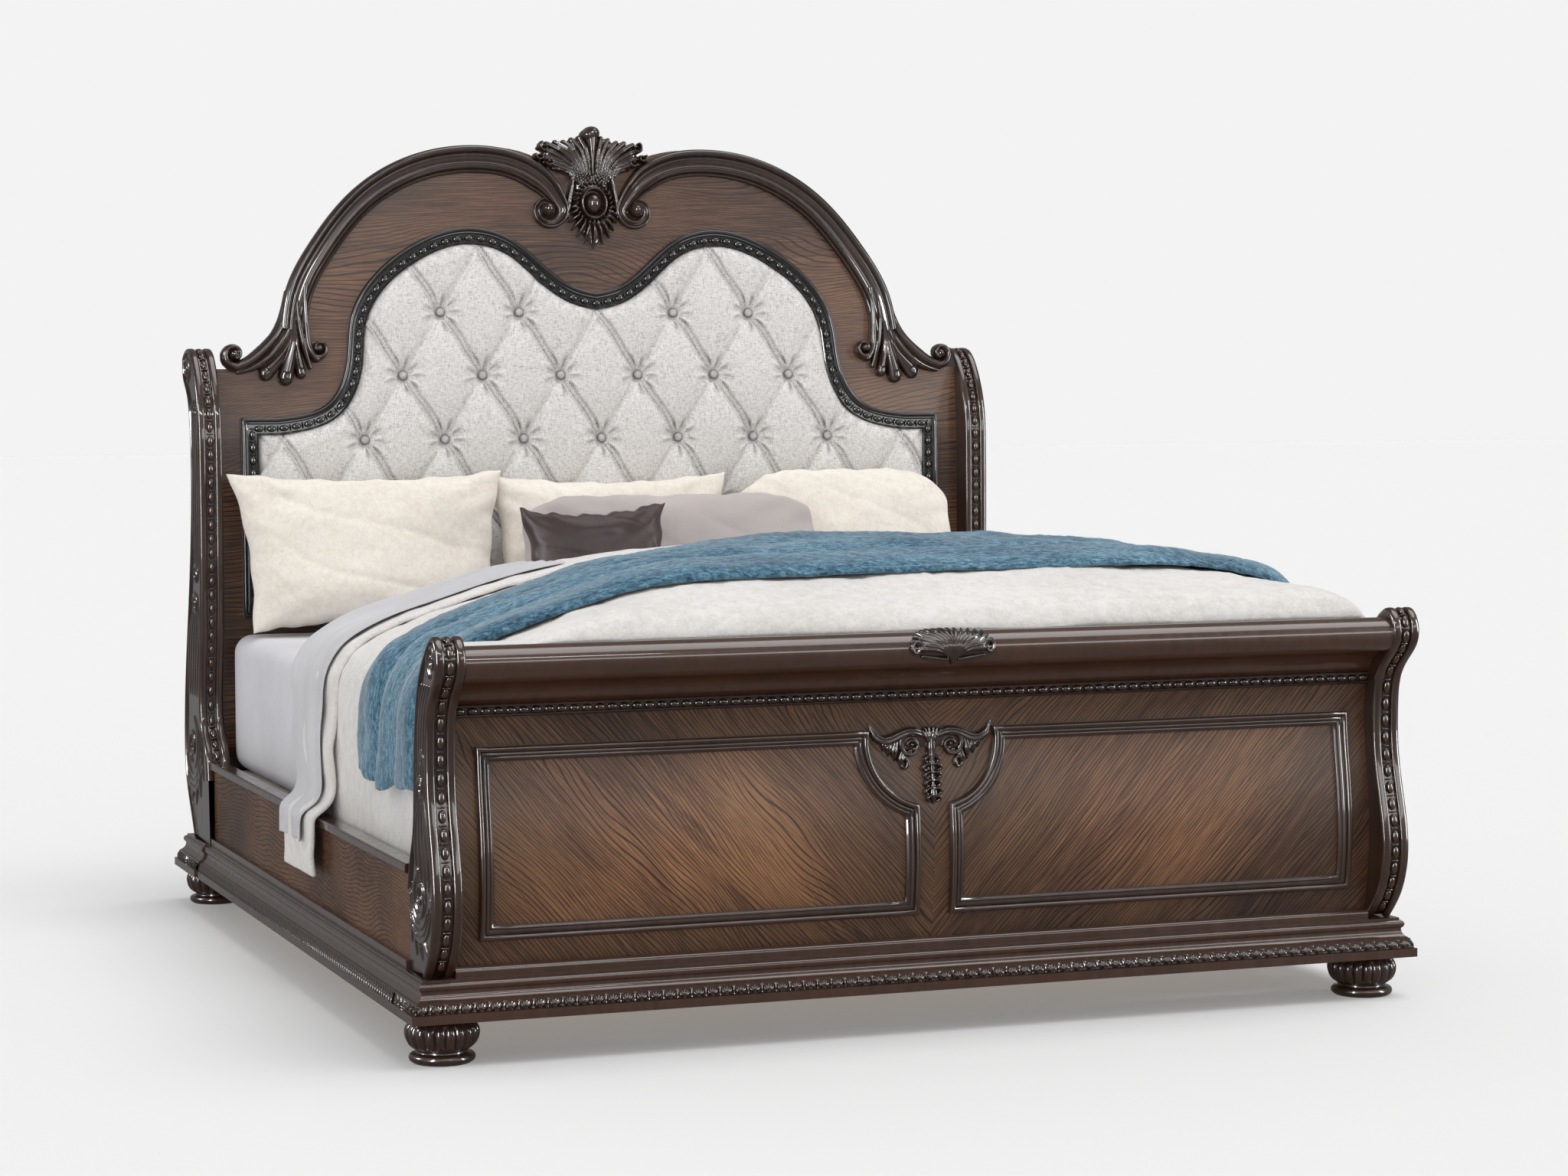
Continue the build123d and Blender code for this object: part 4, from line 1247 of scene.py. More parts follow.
# ---- headboard ----
def lean_at(z):
    """The y of the headboard's face at height z and the slope of its lean there."""
    z = np.asarray(z, float)
    rise = np.maximum(z - HEAD_BEND_Z, 0)
    turn = np.minimum(np.arcsin(np.minimum(rise / HEAD_BEND_RADIUS, 1)), HEAD_LEAN)
    y = HEAD_FACE_Y + HEAD_BEND_RADIUS * (1 - np.cos(turn))
    y = y + (rise - HEAD_BEND_RADIUS * np.sin(turn)) * np.tan(turn)
    return y, turn


def on_head(u, v, h):
    """A place on the headboard's leaning face at (u, v), standing h proud."""
    y, turn = lean_at(v)
    return np.stack([u, y - h * np.cos(turn), v + h * np.sin(turn)], -1)


ACROSS = np.array([1.0, 0, 0])


def head_axes(z):
    """Unit vectors out of the headboard's face and up along it, at height z."""
    turn = float(lean_at(z)[1])
    return (np.array([0, -math.cos(turn), math.sin(turn)]),
            np.array([0, math.sin(turn), math.cos(turn)]))


def face_sweep(path, profile, scale):
    """A moulding carried along a path drawn on the headboard's face.

    The profile is (offset to the path's left, height); scale shrinks it along the path.
    """
    t = tangents(path)
    left = np.stack([-t[:, 1], t[:, 0]], 1)
    at = path[:, None] + left[:, None] * (profile[None, :, :1] * scale[:, None, None])
    height = profile[None, :, 1] * np.minimum(scale[:, None] * 1.25, 1)
    verts, faces = ring_stack(on_head(at[..., 0], at[..., 1], height))
    return verts, faces + end_caps(*at.shape[:2])


# The arch's middle line as (x, z), from the shoulder to the volute beside the crest.
ARCH_PATH = [(.803, 1.446), (.788, 1.530), (.722, 1.652), (.614, 1.778), (.464, 1.864),
             (.316, 1.889), (.190, 1.868), (.112, 1.812), (.081, 1.765)]
VOLUTE = (.120, 1.761)
VOLUTE_RADIUS, VOLUTE_TURNS = .041, 1.18
# Offsets run from the arch's inner edge (-) to its outer edge (+), seen along the path.
ARCH_PROFILE = [(-.035, 0), (-.035, .0080), (-.0335, .0120), (-.0305, .0140), (-.0275, .0125),
                (-.0262, .0105), (-.0250, .0130), (-.0228, .0178), (-.0200, .0190), (-.0172, .0172),
                (-.0158, .0140), (-.0140, .0128), (-.0080, .0132), (-.0010, .0155), (.0050, .0190),
                (.0072, .0212), (.0100, .0222), (.0128, .0208), (.0140, .0178), (.0152, .0185),
                (.0170, .0240), (.0205, .0282), (.0250, .0295), (.0295, .0270), (.0330, .0210),
                (.0350, .0120), (.0350, 0)]


def arch_moulding():
    """The arched moulding with its inner volute beside the crest."""
    arch = spline(ARCH_PATH, step=.008)
    turn = np.linspace(0, 1, 46)
    radius = VOLUTE_RADIUS * (1 - .72 * turn)
    start = math.atan2(arch[-1][1] - VOLUTE[1], arch[-1][0] - VOLUTE[0])
    angle = start + turn * 2 * math.pi * VOLUTE_TURNS
    curl = np.stack([VOLUTE[0] + radius * np.cos(angle), VOLUTE[1] + radius * np.sin(angle)], 1)
    path = np.concatenate([arch, curl[1:]])
    fade = np.concatenate([np.ones(len(arch)), np.linspace(1, .30, len(curl) - 1) ** 1.3])
    # The moulding tightens as it nears the volute.
    near = np.clip((len(arch) - np.arange(len(path))) / 14, 0, 1)
    scale = fade * (.52 + .48 * near)
    # The path runs from the shoulder to the crest, so its left side is the inner one.
    profile = np.array([(-a, b) for a, b in ARCH_PROFILE[::-1]])
    eye = relief_slab((VOLUTE[0] - .024, VOLUTE[1] - .024), (VOLUTE[0] + .024, VOLUTE[1] + .024),
                      .0012, [], on_head, bumps=[ball(VOLUTE, (.019, .019), .034)], cut=.004)
    part = join_meshes([face_sweep(path, profile, scale), eye])
    carved_pair("arch_moulding_{}_run", part, "arch_moulding_{}", sharp=55)


def shoulder_carving():
    """The fan of lobes at the arch's foot, between an outer and an inner volute."""
    s = Ridges()
    outer_eye, inner_eye = (.958, 1.384), (.741, 1.400)
    # The outer strand: down the arch's edge, out under the volute, and curling over it.
    run = [(.812, 1.540), (.828, 1.480), (.852, 1.432), (.888, 1.394), (.926, 1.366),
           (.955, 1.354)]
    curl = spiral(outer_eye, .030, -95, .95, .38, 26)
    s.add(np.concatenate([spline(run, count=30), curl]),
          (.0120, .0130, .0150, .0120, .0055), (.018, .026, .030, .032))
    under = [(.806, 1.500), (.820, 1.448), (.848, 1.404), (.884, 1.368), (.922, 1.348),
             (.950, 1.340)]
    s.add(under, (.0060, .0100, .0120, .0110, .0050), (.014, .022, .024, .016))
    # Gadroon lobes.
    root = np.array([.800, 1.468])
    for tip, wide, top in (((.878, 1.338), .0200, .026), ((.828, 1.328), .0215, .031),
                           ((.788, 1.338), .0150, .029)):
        tip = np.array(tip)
        bend = root + (tip - root) * .5 + np.array([(.812 - tip[0]) * .22, 0])
        s.add([root + (0, .03), bend, tip],
              (.0030, wide * .62, wide), (.014, top, top * .80))
        s.add([root + (0, .02), bend, tip + (root - tip) * .10],
              (.0015, wide * .30, wide * .62), (.012, top + .003, top * .97))
    # The inner strand with its volute.
    inner_run = [(.768, 1.560), (.772, 1.500), (.770, 1.440), (.762, 1.394), (.748, 1.372)]
    curl = spiral(inner_eye, .024, -70, -.9, .38, 24)
    s.add(np.concatenate([spline(inner_run, count=24), curl]),
          (.0090, .0100, .0110, .0085, .004), (.016, .022, .026, .028))
    s.add([(.790, 1.540), (.790, 1.470), (.778, 1.400), (.764, 1.352)],
          (.0060, .0085, .0100, .0060), (.014, .022, .024, .014))
    bumps = [ball(outer_eye, (.0165, .0165), .036), ball(inner_eye, (.0125, .0125), .031)]
    part = relief_slab((.700, 1.290), (1.003, 1.565), .0014, s, on_head, bumps, cut=.002)
    carved_pair("shoulder_carving_{}_fan", part, "shoulder_carving_{}", sharp=75)


# The height of the crest's cabochon.
CABOCHON = 1.775


def crest():
    """The cartouche: a fan of leaves, a ringed cabochon and a lower gadrooned shell."""
    s = Ridges()
    waist = 1.842
    # The solid mass under the leaves.
    for x, z, wide in ((0, 1.945, .030), (.042, 1.925, .024), (.080, 1.915, .024),
                       (.110, 1.902, .020)):
        s.pair([(0, 1.800), (x * .30, 1.858), (x, z)], (.046, .026, wide), (.018, .026, .022))
    s.add([(0, 1.790), (0, 1.715), (0, 1.682)], (.060, .046, .016), (.016, .015, .008))
    # The upper fan, from the middle leaf outwards.
    fans = [((.030, 1.948), .0085, .040), ((.050, 1.944), .0080, .036),
            ((.072, 1.937), .0085, .036), ((.094, 1.936), .0090, .034),
            ((.118, 1.932), .0090, .032), ((.140, 1.920), .0085, .030),
            ((.148, 1.900), .0080, .028), ((.128, 1.882), .0080, .027),
            ((.104, 1.868), .0070, .026)]
    for i, (tip, wide, top) in enumerate(fans):
        start = (.006 + .0062 * i, waist - .022 + .0015 * i)
        low = (.009 + .0072 * i, waist + .014)
        control = (low[0] * .55 + tip[0] * .42, low[1] + (tip[1] - low[1]) * .62)
        s.pair(spline([start, low, control, tip], count=40),
               (.0030, .0055, wide, wide * 1.1, wide * .75),
               (.024, .032, top, top * 1.05, top * .62), .0040)
    # Curled leaf ends.
    for centre, radius, start in (((.126, 1.921), .014, 60), ((.139, 1.897), .012, 20),
                                  ((.113, 1.884), .012, -30)):
        s.pair(spiral(centre, radius, start, -1.0, .25, 26), (.0050, .0035), (.034, .030))
    # Side strands that pass the cabochon and reach the lower shell.
    s.pair([(.050, 1.858), (.056, 1.822), (.064, 1.780), (.066, 1.742)],
           (.0050, .0075, .0080, .0040), (.028, .030, .026, .016), .003)
    # The shell under the cabochon.
    for k in range(7):
        a = math.radians(-90 + 13.5 * k)
        reach = .112 - .0085 * k
        s.pair([(.046 * math.cos(a), CABOCHON + .046 * math.sin(a)),
                (reach * math.cos(a) * 1.02, CABOCHON + reach * math.sin(a))],
               (.0050, .0062, .0058, .0035), (.026, .028, .022, .010))
    s.add([(0, 1.850), (0, 1.880), (0, 1.915), (0, 1.945)], (.0040, .0075, .0140, .0200),
          (.030, .034, .040, .044))
    # The frame round the cabochon: a smooth ring, then a ring of small beads.
    ring = [(.0325 * math.cos(a), CABOCHON + .0385 * math.sin(a))
            for a in np.linspace(0, 2 * math.pi, 40)]
    s.add(ring, (.0058, .0058), (.036, .036))
    for k in range(26):
        a = 2 * math.pi * k / 26
        at = (.0445 * math.cos(a), CABOCHON + .0520 * math.sin(a))
        out = (.0515 * math.cos(a + .10), CABOCHON + .0595 * math.sin(a + .10))
        s.add([at, out], (.0045, .0036), (.034, .028))
    bumps = [ball((0, CABOCHON), (.0265, .0325), .043), ball((.004, 1.958), (.023, .021), .052),
             ball((-.006, 1.952), (.020, .018), .049)]
    part = relief_slab((-.162, 1.655), (.162, 1.984), .0014, s, on_head, bumps, cut=.004)
    carved("crest_cartouche", part, "crest_carving", sharp=75)


# The upholstery frame's outer and inner edges as (x, z), from its side to its middle.
UPHOLSTERY_EDGE = [(.850, 1.227), (.719, 1.266), (.672, 1.363), (.655, 1.482), (.588, 1.590),
                   (.470, 1.675), (.335, 1.712), (.220, 1.682), (.115, 1.597), (.050, 1.557),
                   (0, 1.545)]
UPHOLSTERY_INNER = [(.850, 1.184), (.693, 1.232), (.630, 1.352), (.614, 1.469), (.557, 1.561),
                    (.450, 1.637), (.335, 1.669), (.246, 1.648), (.143, 1.565), (.062, 1.515),
                    (0, 1.502)]
TRIM_WIDTH = .043
# Where the beads' channel lies across the frame, and how far apart its beads are.
TRIM_CHANNEL, TRIM_PITCH = .0278, .032
TRIM_LOW, TRIM_SIDE = .726, .945


def upholstery_ring(inset):
    """Half the upholstery's outline from the middle of its top edge round to its lower edge."""
    share = inset / TRIM_WIDTH
    points = np.array(UPHOLSTERY_EDGE) + (np.array(UPHOLSTERY_INNER) - UPHOLSTERY_EDGE) * share
    curve = resample(spline(points, step=.004), 150)[::-1]
    side, low = TRIM_SIDE - inset, TRIM_LOW + inset
    run = resample([curve[-1], (side, curve[-1][1])], 10)[1:]
    down = resample([(side, curve[-1][1]), (side, low)], 24)[1:]
    base = resample([(side, low), (0, low)], 24)[1:]
    return np.concatenate([curve, run, down, base])


def full_ring(inset):
    """The upholstery's whole outline, moved inwards."""
    half = upholstery_ring(inset)
    other = half[1:-1][::-1].copy()
    other[:, 0] *= -1
    return np.concatenate([half, other])


def upholstery_trim():
    """The dark frame round the linen: an outer cove and a channel of rectangular beads."""
    profile = [(0, 0), (.0004, .0105), (.0025, .0135), (.0055, .0142), (.0085, .0128),
               (.0105, .0105), (.0118, .0118), (.0138, .0128), (.0158, .0118), (.0170, .0070),
               (.0385, .0070), (.0392, .0110), (.0408, .0122), (.0424, .0112), (.0430, .0060),
               (.0430, 0)]
    parts = [ring_stack([on_head(*full_ring(inset).T, height) for inset, height in profile])]
    path = full_ring(TRIM_CHANNEL)
    path = np.concatenate([path, path[:1]])
    t = lengths_along(path)
    count = int(t[-1] / TRIM_PITCH)
    for i in range(count):
        at = t[-1] * i / count
        p, q, r = (point_at((at + step) % t[-1], t, path) for step in (0, .004, TRIM_PITCH / 2))
        d = np.array(q) - p
        d = d / np.linalg.norm(d)
        out, up = head_axes(p[1])
        along = d[0] * ACROSS + d[1] * up
        axes = [along, np.cross(out, along), out]
        for place, height, radii, rings, segments in (
                (p, .0085, (.0122, .0082, .0072), 8, 12), (r, .0080, (.0024, .0088, .0052), 6, 10)):
            parts.append(ellipsoid(on_head(*place, height), axes, radii, rings, segments))
    carved("upholstery_beaded_frame", join_meshes(parts), "upholstery_frame_moulding", sharp=45,
           material="black")


arch_moulding()
shoulder_carving()
crest()
upholstery_trim()


# ---- tufted linen ----
BUTTON_PITCH = .2096
ROW_START, ROW_STEP = .843, .1628
# The buttons of each row: its height and their places from the middle, in pitches.
BUTTON_ROWS = {ROW_START: (0, 1, 2, 3), 1.006: (.5, 1.5, 2.5, 3.5), 1.169: (0, 1, 2, 3),
               1.332: (.5, 1.5, 2.5), 1.494: (1, 2)}
BUTTONS = [(side * BUTTON_PITCH, z) for z, steps in BUTTON_ROWS.items() for step in steps
           for side in sorted({step, -step})]

# Heights and depths in the pad: at rest, between the folds, along the pleats and at the buttons.
PAD_REST, PAD_SWELL = .0150, .0150
PLEAT_DEPTH, PLEAT_LIP, CROSS_FOLD = .0150, .0060, .0045
BUTTON_SINK, BUTTON_HOLLOW, GATHER_HEIGHT = .0150, .0045, .0021


def tuft_height(x, z):
    """How far the linen stands off the headboard's face, with diamond folds and sunk buttons."""
    across, up = x / (BUTTON_PITCH / 2), (z - ROW_START) / ROW_STEP
    a, b = (across + up) / 2, (up - across) / 2
    sa = a - np.round(a) + .010 * np.sin(z * 60)
    fa, fb = np.abs(sa), np.abs(b - np.round(b))
    swell = (1 - np.exp(-fa / .15)) * (1 - np.exp(-fb / .17))
    # A pleat lies along each falling diagonal: a sharp valley with a raised lip on one side.
    lip = PLEAT_LIP * np.exp(-np.maximum(sa, 0) / .06) * (sa > 0)
    pleat = PLEAT_DEPTH * np.exp(-fa / .020) - lip
    h = PAD_REST + PAD_SWELL * swell - pleat - CROSS_FOLD * np.exp(-fb / .040)
    for bx, bz in BUTTONS:
        d = np.hypot(x - bx, z - bz)
        h = h - BUTTON_SINK * np.exp(-(d / .026) ** 2) - BUTTON_HOLLOW * np.exp(-(d / .060) ** 2)
        # Short gathers that fan out from each button.
        angle = np.arctan2(z - bz, x - bx)
        gather = np.cos(angle * 9 + bx * 31 + bz * 17)
        h = h + GATHER_HEIGHT * gather * np.exp(-((d - .034) / .022) ** 2)
    return h


def round_off(share):
    """The rise of a rounded edge, from 0 at share 0 to 1 at share 1."""
    return np.sqrt(np.clip(1 - (1 - share) ** 2, 0, 1))


def tufted_panel():
    """The linen pad with its diamond tufting, and its covered buttons."""
    outline = full_ring(TRIM_WIDTH - .001)

    def heights(us, vs, distance):
        uu, vv = np.meshgrid(us, vs, indexing="ij")
        h = tuft_height(uu, vv)
        edge = np.clip(distance / .040, 0, 1)
        rolled = .0030 + (h - .0030) * round_off(edge)
        ripple = .0008 * np.sin(uu * 160 + 3 * np.sin(vv * 23)) * np.exp(-(distance / .030) ** 2)
        return np.maximum(rolled + ripple, -.004)

    part = outlined_slab(outline, .0042, heights, on_head, back=-.010, closed=False)
    pad = piece("tufted_linen_pad", part, "linen", ["tufted_panel"])
    parts = []
    for x, z in BUTTONS:
        out, up = head_axes(z)
        parts.append(ellipsoid(on_head(x, z, .0035), [out, ACROSS, up], (.0068, .0128, .0128),
                               10, 20))
    piece("tufting_covered_buttons", join_meshes(parts), "linen", ["tufting_buttons"])


tufted_panel()

# ---- bedding ----
# The bed's top across it, as (x, z), and from the foot to the head, as (y, z).
DOME = [(-1.012, .352), (-1.012, .520), (-1.009, .620), (-.998, .692), (-.964, .745), (-.912, .778),
        (-.850, .803), (-.730, .842), (-.600, .880), (-.450, .912), (-.300, .932), (-.150, .946),
        (0, .951), (.150, .949), (.350, .940), (.550, .927), (.750, .905), (.900, .878),
        (.975, .848), (1.005, .796), (1.010, .705)]
FALL = [(-1.140, .808), (-1.115, .842), (-1.060, .872), (-.980, .893), (-.900, .908), (-.700, .936),
        (-.480, .962), (-.250, .966), (0, .955), (.150, .933), (.250, .880), (.300, .770)]
MATTRESS_TOP, MATTRESS_END = .690, -1.002
# Above this height the fall of the bed's top shows, fully so a little higher.
FALL_FROM, FALL_BLEND = .60, .12
DOME_LINE = spline(DOME, step=.004)
DOME_LENGTHS = lengths_along(DOME_LINE)
FALL_LINE = spline(FALL, step=.004)


def value_noise(seed, cells, shape):
    """Smooth noise on a grid: random values at cells x cells knots, blended by a cosine."""
    knots = np.random.default_rng(seed).standard_normal((cells[0] + 2, cells[1] + 2))
    rows = np.linspace(0, cells[0], shape[0])
    cols = np.linspace(0, cells[1], shape[1])
    r, c = rows.astype(int), cols.astype(int)
    fr, fc = rows - r, cols - c
    fr, fc = (3 * fr ** 2 - 2 * fr ** 3)[:, None], (3 * fc ** 2 - 2 * fc ** 3)[None]
    a, b = knots[np.ix_(r, c)], knots[np.ix_(r + 1, c)]
    d, e = knots[np.ix_(r, c + 1)], knots[np.ix_(r + 1, c + 1)]
    return (a * (1 - fr) + b * fr) * (1 - fc) + (d * (1 - fr) + e * fr) * fc


def soft_least(a, b):
    """The lower of two heights, with a rounded meeting."""
    blend = .022
    h = np.clip(.5 + .5 * (b - a) / blend, 0, 1)
    return b + (a - b) * h - blend * h * (1 - h)


def settle(z, ys, lift=0.0):
    """Heights across the bed lowered by the fall of its top from the foot to the head."""
    high = np.clip((z - FALL_FROM) / FALL_BLEND, 0, 1)
    limit = np.interp(ys, FALL_LINE[:, 0], FALL_LINE[:, 1]) + lift
    dip = .030 * np.clip((ys + .48) / .78, 0, 1) * high
    return z * (1 - high) + soft_least(z, limit) * high - dip


def on_dome(lengths):
    """The x and z of places on the bed's top, by their lengths along the dome from its left end."""
    return (np.interp(lengths, DOME_LENGTHS, DOME_LINE[:, i]) for i in (0, 1))


def shift_along_normals(grid, amount):
    """A grid of points moved by amount along its surface normals."""
    n = np.cross(np.gradient(grid, axis=1), np.gradient(grid, axis=0))
    n /= np.maximum(np.linalg.norm(n, axis=-1, keepdims=True), 1e-9)
    return grid + n * amount[..., None]


def between(grid, under):
    """A closed shell between two grids of points."""
    rows, cols = grid.shape[:2]
    verts = np.concatenate([grid.reshape(-1, 3), under.reshape(-1, 3)])
    return verts, shell_faces(grid_faces(rows, cols), rows * cols)


def cloth_shell(grid, thickness, round_rim=True):
    """A closed shell of cloth from a grid of points, its underside flat and its rim rounded."""
    rows, cols = grid.shape[:2]
    r, c = np.indices((rows, cols))
    rim = np.minimum(np.minimum(r, rows - 1 - r), np.minimum(c, cols - 1 - c))
    share = np.maximum(round_off(np.minimum(rim / 3.0, 1)), math.sqrt(.12))
    top = shift_along_normals(grid, (share if round_rim else np.ones_like(share)) * thickness / 2)
    return between(top, shift_along_normals(grid, np.full((rows, cols), -thickness / 2)))


def duvet():
    """The quilt over the bed: hanging inside the left rail, puffed, with its folded head edge."""
    ys = np.concatenate([np.linspace(-1.136, -1.00, 18)[:-1], np.linspace(-1.00, .292, 120)])
    x, z = on_dome(np.linspace(.004, DOME_LENGTHS[-1], 250))
    yy = np.broadcast_to(ys[:, None], (len(ys), len(x)))
    grid = np.stack([np.broadcast_to(x, yy.shape), yy, settle(z[None], yy)], -1)
    wave = value_noise(11, (9, 14), grid.shape[:2]) * .0045
    wave += value_noise(12, (26, 40), grid.shape[:2]) * .0016
    pile = value_noise(13, (90, 160), grid.shape[:2]) * .0010
    # Soft vertical folds on the hanging side.
    hang = np.clip((.80 - grid[..., 2]) / .15, 0, 1)
    fold = np.sin(grid[..., 1] * 19 + 1.3 * np.sin(grid[..., 1] * 7)) * .0050 * hang
    quiet = np.clip((grid[..., 2] - .36) / .05, 0, 1)
    grid = shift_along_normals(grid, (wave + pile - .002) * (.4 + .6 * quiet) * (1 - .6 * hang)
                               + fold * quiet - .002 * hang)
    drop = np.clip((.80 - grid[..., 2]) / .35, 0, 1)
    grid[..., 1] -= drop * .30 * np.clip((grid[..., 1] + .25) / .54, 0, 1)
    # The underside: the same rows drawn in to the mattress.
    inside = np.array(grid)
    inside[..., 0] = np.clip(inside[..., 0], -.989, .985)
    inside[..., 2] = np.where(inside[..., 2] > MATTRESS_TOP, MATTRESS_TOP + .004, inside[..., 2])
    # Foot-ward of the mattress the underside and the hanging side are drawn up.
    past = MATTRESS_END - ys[:, None]
    inside[..., 2] = np.where(past > 0, np.maximum(inside[..., 2], .805), inside[..., 2])
    grid[..., 2] = np.maximum(grid[..., 2], np.clip(past / .02, 0, 1) * .800)
    obj = piece("fleece_duvet", join_meshes([between(grid, inside), duvet_hem()]), "fleece",
                ["duvet"])


# How the folded edge runs: across the bed, down its side, over the rail cap and outside the rail.
OVER_RAIL = [(-1.019, .560), (-1.022, .470), (-1.031, .412), (-1.052, .392), (-1.066, .380),
             (-1.071, .350), (-1.072, .300), (-1.071, .258)]


def side_path(reach_x, low, lift):
    """(x, z) points from reach_x on the bed's top, over its left edge and the rail, down to low."""
    dome = DOME_LINE[::-1]
    keep = dome[(dome[:, 0] <= reach_x) & (dome[:, 1] >= FALL_FROM)]
    t = tangents(keep)
    upper = keep + np.stack([t[:, 1], -t[:, 0]], 1) * lift
    over = np.array([p for p in OVER_RAIL if p[1] >= low] + [(OVER_RAIL[-1][0], low)])
    over[:, 0] -= max(lift - .002, 0)
    return spline(np.concatenate([upper[::6], over]), step=.006)


def hanging_cloth(reach_x, low, lift, ys_top, ys_low, cols):
    """A grid that runs down side_path, its y edges moving from ys_top to ys_low.

    Returned with the share of the way down of each row.
    """
    path = side_path(reach_x, low, lift)
    drop = np.clip((.86 - path[:, 1:]) / .50, 0, 1)
    near, far = (top + (end - top) * drop for top, end in zip(ys_top, ys_low))
    yy = near + (far - near) * np.linspace(0, 1, cols)[None]
    zz = settle(np.broadcast_to(path[:, 1:], yy.shape), yy, lift)
    grid = np.stack([np.broadcast_to(path[:, :1], yy.shape), yy, zz], -1)
    return grid, np.linspace(0, 1, len(path))[:, None]


def duvet_hem():
    """The fold of the duvet that shows beside the flat sheet and drops outside the rail."""
    grid, share = hanging_cloth(.10, .252, .005, (-.215, .060), (-.262, .010), 40)
    ripple = value_noise(21, (40, 6), grid.shape[:2]) * .0016
    # On top of the bed the fold runs out into the duvet.
    return cloth_shell(shift_along_normals(grid, ripple - .016 * np.clip(1 - share / .14, 0, 1)),
                       .011)


def cloth_size(grid):
    """The flat width and length of a cloth, from the mean lengths of its rows and columns."""
    across = np.linalg.norm(np.diff(grid, axis=1), axis=-1).sum(1).mean()
    along = np.linalg.norm(np.diff(grid, axis=0), axis=-1).sum(0).mean()
    return (round(float(across), 3), round(float(along), 3))


def flat_sheet():
    """The smooth sheet turned down over the bed's side, its end hanging over the rail."""
    grid, share = hanging_cloth(-.46, .322, .0145, (-.140, .300), (-.215, .020), 64)
    v = np.linspace(0, 1, grid.shape[1])[None]
    drop = np.clip((.84 - grid[..., 2]) / .3, 0, 1)
    fold = np.sin(v * 15 + 1.5) * .0040 * drop + np.sin(v * 34 + 2 * share) * .0014
    fold += value_noise(31, (10, 5), grid.shape[:2]) * .0020
    grid = shift_along_normals(grid, fold)
    obj = piece("turned_flat_sheet", cloth_shell(grid, .0022, False), "sheet",
                ["flat_sheet"])
    cloth_size(grid)


def throw():
    """The knitted throw laid across the bed, its left end hanging down the side."""
    rows, cols = 84, 300
    v = np.linspace(0, 1, rows)[:, None]
    s = np.linspace(0, 1, cols)[None]
    # From low on the left side, where the dome's height rises steadily, to the right edge.
    left, top = slice(60), DOME_LINE[:, 1] > .80
    start = np.interp(.505, DOME_LINE[left, 1], DOME_LENGTHS[left])
    stop = np.interp(.990, DOME_LINE[top, 0], DOME_LENGTHS[top])
    ragged = .010 * np.sin(v * 9) + .006 * np.sin(v * 23 + 1)
    length = start + ragged + (stop + .012 * np.sin(v * 13) - start - ragged) * s
    # The strip narrows where it lies on top and gathers into long folds.
    stations = [0, .10, .22, .5, .8, 1]
    near = np.interp(s, stations, [-.985, -.985, -.950, -.900, -.870, -.800])
    far = np.interp(s, stations, [-.500, -.520, -.500, -.470, -.455, -.440])
    yy = near + (far - near) * v
    x, z = on_dome(length)
    grid = np.stack([x, yy, settle(z, yy)], -1)
    lane = v * 2.9 + .05 + .13 * np.sin(s * 6 + 1) + .05 * np.sin(s * 19)
    folds = .0270 * np.abs(np.sin(math.pi * lane)) ** .62 - .004
    folds = folds + .0022 * np.sin(lane * 9 + 4 * s)
    folds = folds + value_noise(41, (8, 30), (rows, cols)) * .0028
    edge = np.clip(np.minimum(v, 1 - v) / .07, 0, 1)
    rise = .0050 + (.0040 + np.maximum(folds, -.004)) * round_off(edge)
    grid = shift_along_normals(grid, rise + value_noise(42, (60, 200), (rows, cols)) * .0007)
    obj = piece("knitted_throw", cloth_shell(grid, .0065), "knit", ["throw_blanket"])
    cloth_size(grid)


def rounded_block(low, high, radius, bulge, detail):
    """A box with rounded edges, from a fine cube whose points are pushed on to it."""
    mesh = bpy.data.meshes.new("block")
    bm = bmesh.new()
    bmesh.ops.create_cube(bm, size=2)
    bmesh.ops.subdivide_edges(bm, edges=bm.edges, cuts=detail, use_grid_fill=True)
    bm.to_mesh(mesh)
    bm.free()
    verts = np.zeros(len(mesh.vertices) * 3)
    mesh.vertices.foreach_get("co", verts)
    p = verts.reshape(-1, 3)
    faces = [list(f.vertices) for f in mesh.polygons]
    bpy.data.meshes.remove(mesh)
    low, high = np.array(low), np.array(high)
    half, mid = (high - low) / 2, (high + low) / 2
    # The points crowd towards the edges, where the rounding is.
    p = np.sign(p) * (1 - (1 - np.abs(p)) ** 1.35) * half
    core = np.clip(p, -(half - radius), half - radius)
    out = p - core
    reach = np.linalg.norm(out, axis=1, keepdims=True)
    p = core + out / np.maximum(reach, 1e-9) * np.minimum(reach, radius)
    side = np.clip(1 - np.abs(p[:, 2]) / half[2], 0, 1)[:, None]
    edge = (np.abs(p[:, :2]) > half[:2] - radius - 1e-4)
    p[:, :2] += np.sign(p[:, :2]) * edge * bulge * np.sin(np.minimum(side * 2, 1) * math.pi / 2)
    return p + mid, faces


def mattress():
    """The mattress in its fitted sheet, and the box spring under it."""
    verts, faces = rounded_block((-.982, -.996, .347), (.982, 1.050, .688), .045, .0015, 70)
    crease = np.sin(verts[:, 1] * 23 + 2 * np.sin(verts[:, 1] * 9)) * .0012
    side = np.abs(verts[:, 0]) > .95
    verts[side, 0] += crease[side] * np.sign(verts[side, 0])
    obj = piece("fitted_mattress", (verts, faces), "fitted", ["mattress"])
    part = rounded_block((-.974, -.998, .2005), (.974, 1.052, .344), .012, .0, 46)
    obj = piece("upholstered_box_spring", part, "ticking", ["box_spring"])


# The points along each side of a pillow.
PILLOW_GRID = 80


